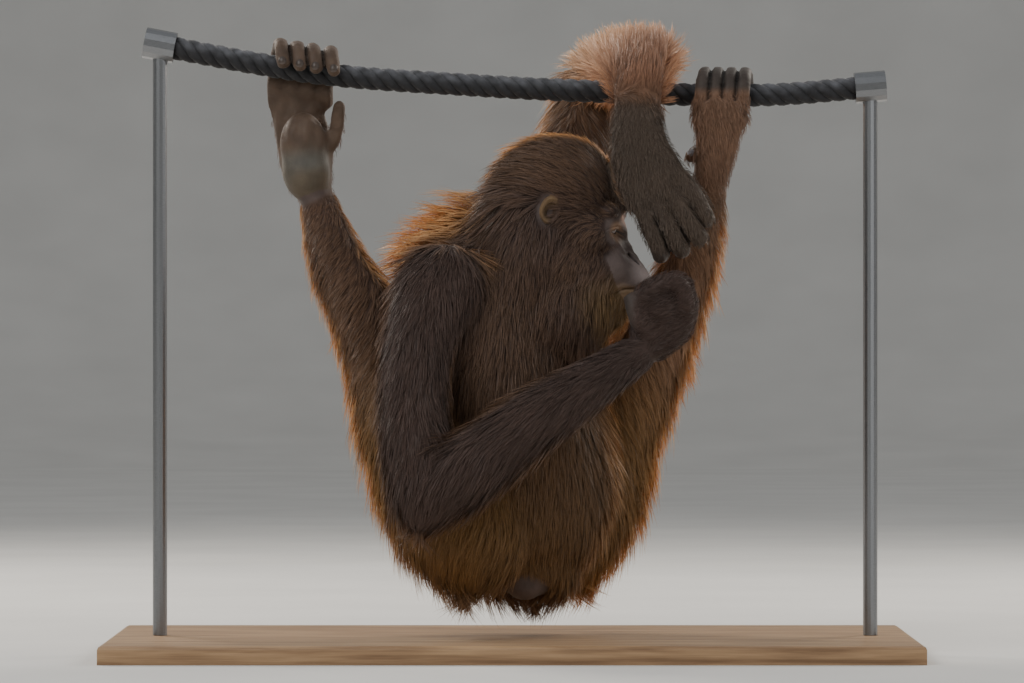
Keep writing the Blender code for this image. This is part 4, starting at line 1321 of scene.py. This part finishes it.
def nearest_guides(roots, part, guide_roots, guide_part):
    """For each hair, the main hair nearest to it on the same part."""
    nearest = np.zeros(len(roots), dtype=int)
    for index in range(len(PARTS)):
        theirs = np.flatnonzero(guide_part == index)
        if not len(theirs):
            continue
        finder = KDTree(len(theirs))
        for key in theirs:
            finder.insert(guide_roots[key], int(key))
        finder.balance()
        for key in np.flatnonzero(part == index):
            nearest[key] = finder.find(roots[key])[1]
    return nearest


def hair_paths(roots, outs, offset, source, scale, length):
    """Paths of finer hairs: each copies the main hair beside it and gathers towards it."""
    at = np.linspace(0, 1, POINTS)[None, :] * scale[:, None] * STEPS
    low = np.minimum(at.astype(int), STEPS - 1)
    share = (at - low)[:, :, None]
    rows = np.arange(len(roots))[:, None]
    along = source[rows, low] * (1 - share) + source[rows, low + 1] * share
    s = np.linspace(0, 1, POINTS)
    path = roots[:, None, :] - outs[:, None, :] * ROOT_SINK + (along - source[:, :1])
    path = path - offset[:, None, :] * (GATHER * s ** 1.4)[None, :, None]
    stray = DRAW.normal(0, 1, (len(roots), 1, 3)) * STRAY * length[:, None, None]
    curl = DRAW.normal(0, 1, (len(roots), 1, 3)) * CURL * length[:, None, None]
    path = path + stray * (s ** 1.5)[None, :, None]
    return path + curl * (np.sin(s * 5.5 + 0.4) * s)[None, :, None]


def ribbons(outs, path, width, roll):
    """Flat tapered hairs along paths: places of the vertices, hair by hair."""
    ways = np.empty_like(path)
    ways[:, 1:-1] = path[:, 2:] - path[:, :-2]
    ways[:, 0] = path[:, 1] - path[:, 0]
    ways[:, -1] = path[:, -1] - path[:, -2]
    ways = unit(ways)
    across = unit(np.cross(ways, outs[:, None, :]))
    through = np.cross(across, ways)
    side = across * np.cos(roll)[:, None, None] + through * np.sin(roll)[:, None, None]
    half = side[:, :STEPS] * (width[:, None] * np.array(HAIR_TAPER) / 2)[:, :, None]
    verts = np.empty((len(path), STEPS * 2 + 1, 3))
    verts[:, 0:-1:2] = path[:, :STEPS] - half
    verts[:, 1:-1:2] = path[:, :STEPS] + half
    verts[:, -1] = path[:, -1]
    return verts


def hair_mesh(name, verts, root_tone, tip_tone, root_uv):
    """A joined mesh of hairs with their colours and their places on the skin's unwrap."""
    count, per = verts.shape[:2]
    base = np.arange(count)[:, None] * per
    quads = [np.array([low, low + 1, low + 3, low + 2]) for low in range(0, per - 3, 2)]
    one = np.concatenate(quads + [np.array([per - 3, per - 2, per - 1])])
    loops = (base + one).ravel()
    sizes = np.tile([4] * (STEPS - 1) + [3], count)
    starts = np.concatenate([[0], np.cumsum(sizes)[:-1]])
    mesh = bpy.data.meshes.new(name)
    mesh.vertices.add(count * per)
    mesh.vertices.foreach_set("co", (verts * MM).astype(np.float32).ravel())
    mesh.loops.add(len(loops))
    mesh.loops.foreach_set("vertex_index", loops.astype(np.int32))
    mesh.polygons.add(len(sizes))
    mesh.polygons.foreach_set("loop_start", starts.astype(np.int32))
    mesh.polygons.foreach_set("use_smooth", np.ones(len(sizes), dtype=bool))
    mesh.update(calc_edges=True)
    share = np.array(TONE_STEPS)[None, :, None]
    tones = root_tone[:, None, :] * (1 - share) + tip_tone[:, None, :] * share
    # Painted shade: the two points at each hair's root are darker.
    tones[:, :2] *= ROOT_PAINTED_SHADE
    add_colour(mesh, tones.reshape(-1, 3))
    uv = (root_uv[:, None, :] + np.array(HAIR_CORNERS)[None] * HAIR_SPOT).reshape(-1, 2)
    layer = mesh.uv_layers.new(name="OFBake")
    layer.uv.foreach_set("vector", uv[loops].astype(np.float32).ravel())
    made = bpy.data.objects.new(name, mesh)
    bpy.context.scene.collection.objects.link(made)
    return made


def unwrap(part, t, turn):
    """A place on the skin's own unwrap: one cell of the sheet for each length of body."""
    cell = 1 - 2 * CELL_EDGE
    u = (part % SHEET_COLUMNS + CELL_EDGE + cell * (turn / math.tau + 0.5)) / SHEET_COLUMNS
    v = (part // SHEET_COLUMNS + CELL_EDGE + cell * t) / SHEET_COLUMNS
    return np.stack([u, v], axis=1)


def coat_pieces(part, t):
    """The names of the coat's pieces and the hairs of each."""
    pieces = {}
    for index, name in enumerate(PARTS):
        mine = part == index
        if name == "torso":
            pieces["coat_torso_upper"] = mine & (t < 0.5)
            pieces["coat_torso_lower"] = mine & (t >= 0.5)
        else:
            pieces["coat_" + name] = mine
    return pieces


def grow_coat(skin, values, bare):
    """All hair: main hairs first, then finer ones that gather round them."""
    mesh = skin.data
    places = vertex_array(mesh)
    normals = vertex_array(mesh, "normal")
    corners = triangles_of(mesh)
    weight = values[:, 11] * (1 - bare) ** 2
    guide_roots, guide_outs = scatter(places, normals, corners, weight + 1e-6, GUIDES)
    guide_part, *_, guide_values = read_field(guide_roots)
    tree = skin_tree(mesh)
    guide_path, guide_length = grow_guides(guide_roots, guide_outs, guide_values, guide_part, tree)
    roots, outs = scatter(places, normals, corners, weight, HAIRS)
    part, t, turn, values = read_field(roots)
    bare = bare_share(roots, outs, part)
    keep = DRAW.random(len(roots)) > bare
    found = (roots, outs, part, t, turn, values, bare)
    roots, outs, part, t, turn, values, bare = (item[keep] for item in found)
    nearest = nearest_guides(roots, part, guide_roots, guide_part)
    scale = DRAW.uniform(0.55, 1.08, len(roots)) * (1 - 0.55 * bare)
    length = guide_length[nearest] * scale
    path = hair_paths(roots, outs, roots - guide_roots[nearest], guide_path[nearest], scale, length)
    width = (0.34 + 0.010 * length) * DRAW.uniform(0.75, 1.3, len(roots)) * 1.0
    roll = DRAW.uniform(-0.9, 0.9, len(roots))
    verts = ribbons(outs, path, width, roll)
    flick = DRAW.uniform(0.86, 1.16, (len(roots), 1))
    tuft = (0.93 + 0.14 * DRAW.random(GUIDES))[nearest][:, None]
    root_tone, tip_tone = (colour * flick * tuft for colour in coat_colours(roots, outs, values))
    uv = unwrap(part, t, turn)
    finish_coat = coat_material()
    for name, mine in coat_pieces(part, t).items():
        made = hair_mesh(name, verts[mine], root_tone[mine], tip_tone[mine], uv[mine])
        made.data.materials.append(finish_coat)
        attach(made, "root")


# Small parts

PUPIL = (0.003, 0.002, 0.002)
EAR_RINGS = 29
EAR_SIDES = 72
EAR_DEPTH = 7.0
EAR_SWING = math.radians(-14)
EAR_TIP = math.radians(8)
ROPE_STEPS = 520
YARN_SIDES = 20
FLOOR_RADIUS = 9000
FLOOR_COVE = 4000
FLOOR_SIDES = 96
FLOOR_HEIGHT = 9000
RIM_TINT = (1.0, 0.93, 0.84)


def paint_piece(made, colours, finish):
    """Paint a piece's vertices and give it its finish."""
    add_colour(made.data, colours)
    made.data.materials.append(finish)


def build_eye(side):
    """An eyeball with its iris, pupil and the bulge of its cornea."""
    name = "eye_right" if side < 0 else "eye_left"
    verts, faces = ellipsoid((0, 0, 0), (1, 1, 1), None, 64, 46)
    turn = np.array(Matrix.Rotation(EYE_OUT * 0.5 * side, 3, "Z") @ Matrix.Rotation(EYE_DOWN, 3, "Y"))
    gaze = turn @ np.array((1.0, 0, 0))
    verts = verts[:, [2, 0, 1]] @ turn.T
    angle = np.degrees(np.arccos(np.clip(verts @ gaze, -1, 1)))
    size = EYE_RADIUS + 0.5 * fall(angle, 12, 34)
    place = np.array(mirrored(EYE_PLACE, side), float) + verts * size[:, None]
    made = mesh_object("eyeball_" + name[4:], from_head(place), faces)
    colours = np.tile(tone(92, 70, 56), (len(verts), 1))
    colours = mix(colours, tone(58, 32, 18), fall(angle, 30, 34))
    colours = mix(colours, tone(96, 56, 30), 0.6 * fall(abs(angle - 22), 4, 9))
    colours = mix(colours, PUPIL, fall(angle, 12, 15))
    paint_piece(made, colours, eye_material())
    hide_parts(name)
    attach(made, "root")


def ear_form(side):
    """A small ear with a rolled rim, an inner ridge and a deep cup, and its closed back."""
    radius = np.linspace(0, 1, EAR_RINGS + 1)[1:]
    turn = np.arange(EAR_SIDES) * math.tau / EAR_SIDES
    r, a = np.meshgrid(radius, turn, indexing="ij")
    up = np.sin(a)
    ahead = np.cos(a)
    front = ramp(ahead, 0.2, 0.9)
    height = 5.0 * ramp(r, 0.4, 0.76) * (1 - 0.8 * front)
    height -= 3.2 * ramp(r, 0.8, 1.0) * (1 - 0.4 * front)
    height -= 5.0 * bell(r * ahead, 0.02, 0.36) * bell(r * up, -0.16, 0.42)
    height += 1.9 * bell(r, 0.58 - 0.06 * up, 0.075) * (1 - front) * ramp(up, -0.7, 0.4)
    height += 2.4 * bell(r * ahead, 0.62, 0.16) * bell(r * up, -0.2, 0.2)
    lobe = 1 + 0.05 * np.cos(2 * a) - 0.06 * ramp(-up, 0.3, 1.0)
    x = ahead * r * EAR_SIZE[0] * lobe - 1.5 * up * r
    z = up * r * EAR_SIZE[1] * lobe
    top = np.stack([x, (EAR_DEPTH + height) * side, z], axis=-1)
    under = np.stack([x * 0.86, (5.0 * r * (1 - front) - 1.6) * side, z * 0.9], axis=-1)
    poles = np.array([[0, (EAR_DEPTH - 3.6) * side, 0], [0, -5.0 * side, 0]])
    verts = np.vstack([top.reshape(-1, 3), under.reshape(-1, 3), poles])
    sheet_size = EAR_RINGS * EAR_SIDES
    rim = sheet_size - EAR_SIDES
    faces = []
    for step in range(EAR_SIDES):
        after = (step + 1) % EAR_SIDES
        faces.append((rim + step, rim + after, rim + after + sheet_size, rim + step + sheet_size))
        for sheet in (0, 1):
            base = sheet * sheet_size
            faces.append((base + step, base + after, 2 * sheet_size + sheet))
            for low in range(base, base + rim, EAR_SIDES):
                faces.append((low + step, low + after, low + EAR_SIDES + after, low + EAR_SIDES + step))
    return verts, faces


def build_ear(side):
    """A small ear, its front and lower part darker and its cup darkest with painted shade."""
    name = "ear_right" if side < 0 else "ear_left"
    verts, faces = ear_form(side)
    swing = Matrix.Rotation(EAR_SWING * side, 3, "Z")
    tilt = np.array(swing @ Matrix.Rotation(EAR_TIP, 3, "Y"))
    middle = np.array(mirrored((EAR_PLACE[0], EAR_PLACE[1] - EAR_SINK, EAR_PLACE[2]), side))
    made = mesh_object("outer_" + name, from_head(middle + verts @ tilt.T), faces)
    bm = bmesh.new()
    bm.from_mesh(made.data)
    bmesh.ops.recalc_face_normals(bm, faces=bm.faces)
    bm.to_mesh(made.data)
    bm.free()
    relax(made.data, 2, np.full(len(made.data.vertices), 0.4))
    x, y, z = verts.T
    dark = 0.9 * ramp(x, -2, 7) + 0.5 * ramp(-z, 8, 18) * (x < -2)
    # Painted shade: the deep cup painted darkest.
    cup = 0.9 * bell(x, 0, 5.5) * bell(z, -2, 8) * (y * side > 0)
    colours = mix(np.tile(tone(112, 90, 64), (len(verts), 1)), DARK, dark)
    paint_piece(made, mix(colours, tone(40, 30, 24), cup), bpy.data.materials["skin_finish"])
    made.data.shade_smooth()
    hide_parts(name)
    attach(made, "root")


def build_nails():
    """A curved nail on the end of each finger and toe."""
    forms = []
    tones = []
    for part, rows, facing in DIGITS:
        end = rows[-1, :3]
        size = rows[-1, 3]
        along = unit(end - rows[-4, :3])
        facing = np.array(facing, float)
        up = unit(facing - along * (facing @ along))
        turn = np.stack([along, np.cross(along, up), up], axis=1)
        radii = np.array((0.62, 0.6, 0.16)) * size
        plate, faces = ellipsoid((0, 0, 0), radii, None, 24, 14)
        edge = plate[:, 0] / radii[0]
        plate[:, 2] -= (0.55 * plate[:, 1] ** 2 + 0.5 * np.maximum(plate[:, 0], 0) ** 2) / size
        forms.append((end - along * size * 0.1 + up * size * 0.88 + plate @ turn.T, faces))
        pale = part == "foot_left" and rows[-1, 0] < 200
        base = np.array(tone(158, 160, 168) if pale else tone(66, 56, 50))
        tones.append(mix(np.tile(base, (len(plate), 1)), base * 1.7 + 0.02, ramp(edge, 0.5, 0.95)))
    made = mesh_object("nails", *joined(forms))
    paint_piece(made, np.vstack(tones), nail_material())
    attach(made, "root")


def build_rope():
    """Four strands laid round each other, each of many small yarns, thinner at both ends."""
    line = rope_line(ROPE_STEPS)
    near = np.tile((0.0, -1.0, 0.0), (ROPE_STEPS, 1))
    up = unit(np.cross(near, ways_of(line)))
    travelled = np.linalg.norm(line - line[0], axis=1)
    to_end = np.minimum(travelled, travelled[-1] - travelled)
    laid = ramp(to_end, ROPE_END_LENGTH - 3, ROPE_END_LENGTH + 5)
    angles = np.arange(YARN_SIDES) * math.tau / YARN_SIDES
    yarn = 1 + 0.05 * np.sin(7 * angles[None, :] + travelled[:, None] * 0.75)
    size = (STRAND_RADIUS * (0.82 + 0.18 * laid))[:, None] * yarn
    reach = STRAND_OFFSET * (0.62 + 0.38 * laid)
    forms = []
    tones = []
    for strand in range(STRANDS):
        spin = math.tau * travelled / ROPE_PITCH + strand * math.tau / STRANDS
        middle = line + (up * np.cos(spin)[:, None] + near * np.sin(spin)[:, None]) * reach[:, None]
        way = ways_of(middle)
        across = unit(np.cross(way, middle - line + 1e-6))
        out = np.cross(across, way)
        ring = across[:, None] * np.cos(angles)[None, :, None] + out[:, None] * np.sin(angles)[None, :, None]
        verts = (middle[:, None] + size[:, :, None] * ring).reshape(-1, 3)
        poles = np.array([middle[0], middle[-1]])
        forms.append((np.vstack([verts, poles]), ring_faces(ROPE_STEPS, YARN_SIDES)))
        # Painted light: the strands are darker deep between each other as painted shade, and lighter on top
        # and toward the camera as a painted highlight.
        outward = (verts - np.repeat(line, YARN_SIDES, axis=0)) / ROPE_RADIUS
        lit = ramp(outward[:, 2] - 0.35 * outward[:, 1], 0.15, 1.1)
        deep = ramp(np.linalg.norm(outward, axis=1), 0.62, 0.98)
        colours = np.tile(tone(44, 44, 46), (len(verts), 1)) * (0.35 + 0.65 * deep)[:, None]
        colours = mix(colours, tone(118, 120, 126), 0.65 * lit * (0.6 + 0.4 * wave(verts, 4)))
        tones.append(np.vstack([colours, colours[:2]]))
    rope = mesh_object("laid_rope", *joined(forms))
    paint_piece(rope, np.vstack(tones), rope_material())
    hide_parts("perch_rope")
    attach(rope, "root")


# Stand


def dress_stand():
    """The base and rods keep their solids and get a finish."""
    wood = wood_material()
    metal = metal_material()
    for name, finish in (("stand_base", wood), ("stand_rod_left", metal), ("stand_rod_right", metal)):
        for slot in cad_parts[name].material_slots:
            slot.material = finish


# Scene


def add_camera():
    """The photograph's level view, far off."""
    data = bpy.data.cameras.new("camera")
    data.sensor_width = SENSOR
    data.lens = SENSOR * CAMERA_DISTANCE / VIEW_WIDTH
    data.clip_end = 100
    camera = bpy.data.objects.new("camera", data)
    camera.location = (0, -CAMERA_DISTANCE * MM, CAMERA_HEIGHT * MM)
    camera.rotation_euler = (math.pi / 2, 0, 0)
    bpy.context.scene.collection.objects.link(camera)
    bpy.context.scene.camera = camera


def add_light(name, place, size, power, colour=(1, 1, 1)):
    """A soft square light aimed at the model."""
    data = bpy.data.lights.new(name, "AREA")
    data.size = size
    data.energy = power
    data.color = colour
    light = bpy.data.objects.new(name, data)
    light.location = place
    aim = Vector((0, 0, 0.38)) - light.location
    light.rotation_euler = aim.to_track_quat("-Z", "Y").to_euler()
    bpy.context.scene.collection.objects.link(light)


def add_studio():
    """A pale floor, a pale surround and soft lights, the strongest from above and behind."""
    profile = [(400, 0), (2000, 0), (5000, 0), (FLOOR_RADIUS, 0)]
    for step in range(1, 9):
        angle = step / 8 * math.pi / 2
        profile.append((FLOOR_RADIUS + FLOOR_COVE * math.sin(angle), FLOOR_COVE * (1 - math.cos(angle))))
    profile.append((FLOOR_RADIUS + FLOOR_COVE, FLOOR_HEIGHT))
    turns = np.arange(FLOOR_SIDES) * math.tau / FLOOR_SIDES
    rings = [np.stack([r * np.cos(turns), r * np.sin(turns), turns * 0 + z], axis=1) for r, z in profile]
    faces = [face[::-1] for face in ring_faces(len(rings), FLOOR_SIDES)[:-FLOOR_SIDES * 2]]
    faces += [(step, (step + 1) % FLOOR_SIDES, FLOOR_SIDES * len(rings)) for step in range(FLOOR_SIDES)]
    floor = mesh_object("floor", np.vstack(rings + [np.zeros((1, 3))]), faces)
    floor.data.materials.append(floor_material())
    world = bpy.data.worlds.new("studio")
    world.use_nodes = True
    background = world.node_tree.nodes["Background"]
    background.inputs[0].default_value = (0.86, 0.87, 0.88, 1)
    background.inputs[1].default_value = 0.5
    bpy.context.scene.world = world
    add_light("key", (-1.6, -2.2, 2.4), 1.8, 46)
    add_light("fill", (2.4, -2.0, 1.2), 2.2, 16)
    add_light("rim_left", (-2.0, 1.9, 1.9), 1.1, 70, RIM_TINT)
    add_light("rim_right", (2.1, 1.7, 1.7), 1.1, 55, RIM_TINT)


def build_all():
    """Camera, skin, coat, small parts, rope, stand and studio."""
    add_camera()
    skin, grooves = build_skin()
    mesh = skin.data
    places = vertex_array(mesh)
    normals = vertex_array(mesh, "normal")
    part, *_, values = read_field(places)
    bare = bare_share(places, normals, part)
    add_colour(mesh, skin_colours(places, normals, part, values, bare, grooves))
    mesh.materials.clear()
    mesh.materials.append(skin_material())
    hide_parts(*[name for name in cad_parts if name.split("_")[0] not in ("ear", "eye", "perch", "stand")])
    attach(skin, "root")
    grow_coat(skin, values, np.maximum(bare, 0.8 * grooves))
    for side in (-1, 1):
        build_eye(side)
        build_ear(side)
    build_nails()
    build_rope()
    dress_stand()
    add_studio()


build_all()
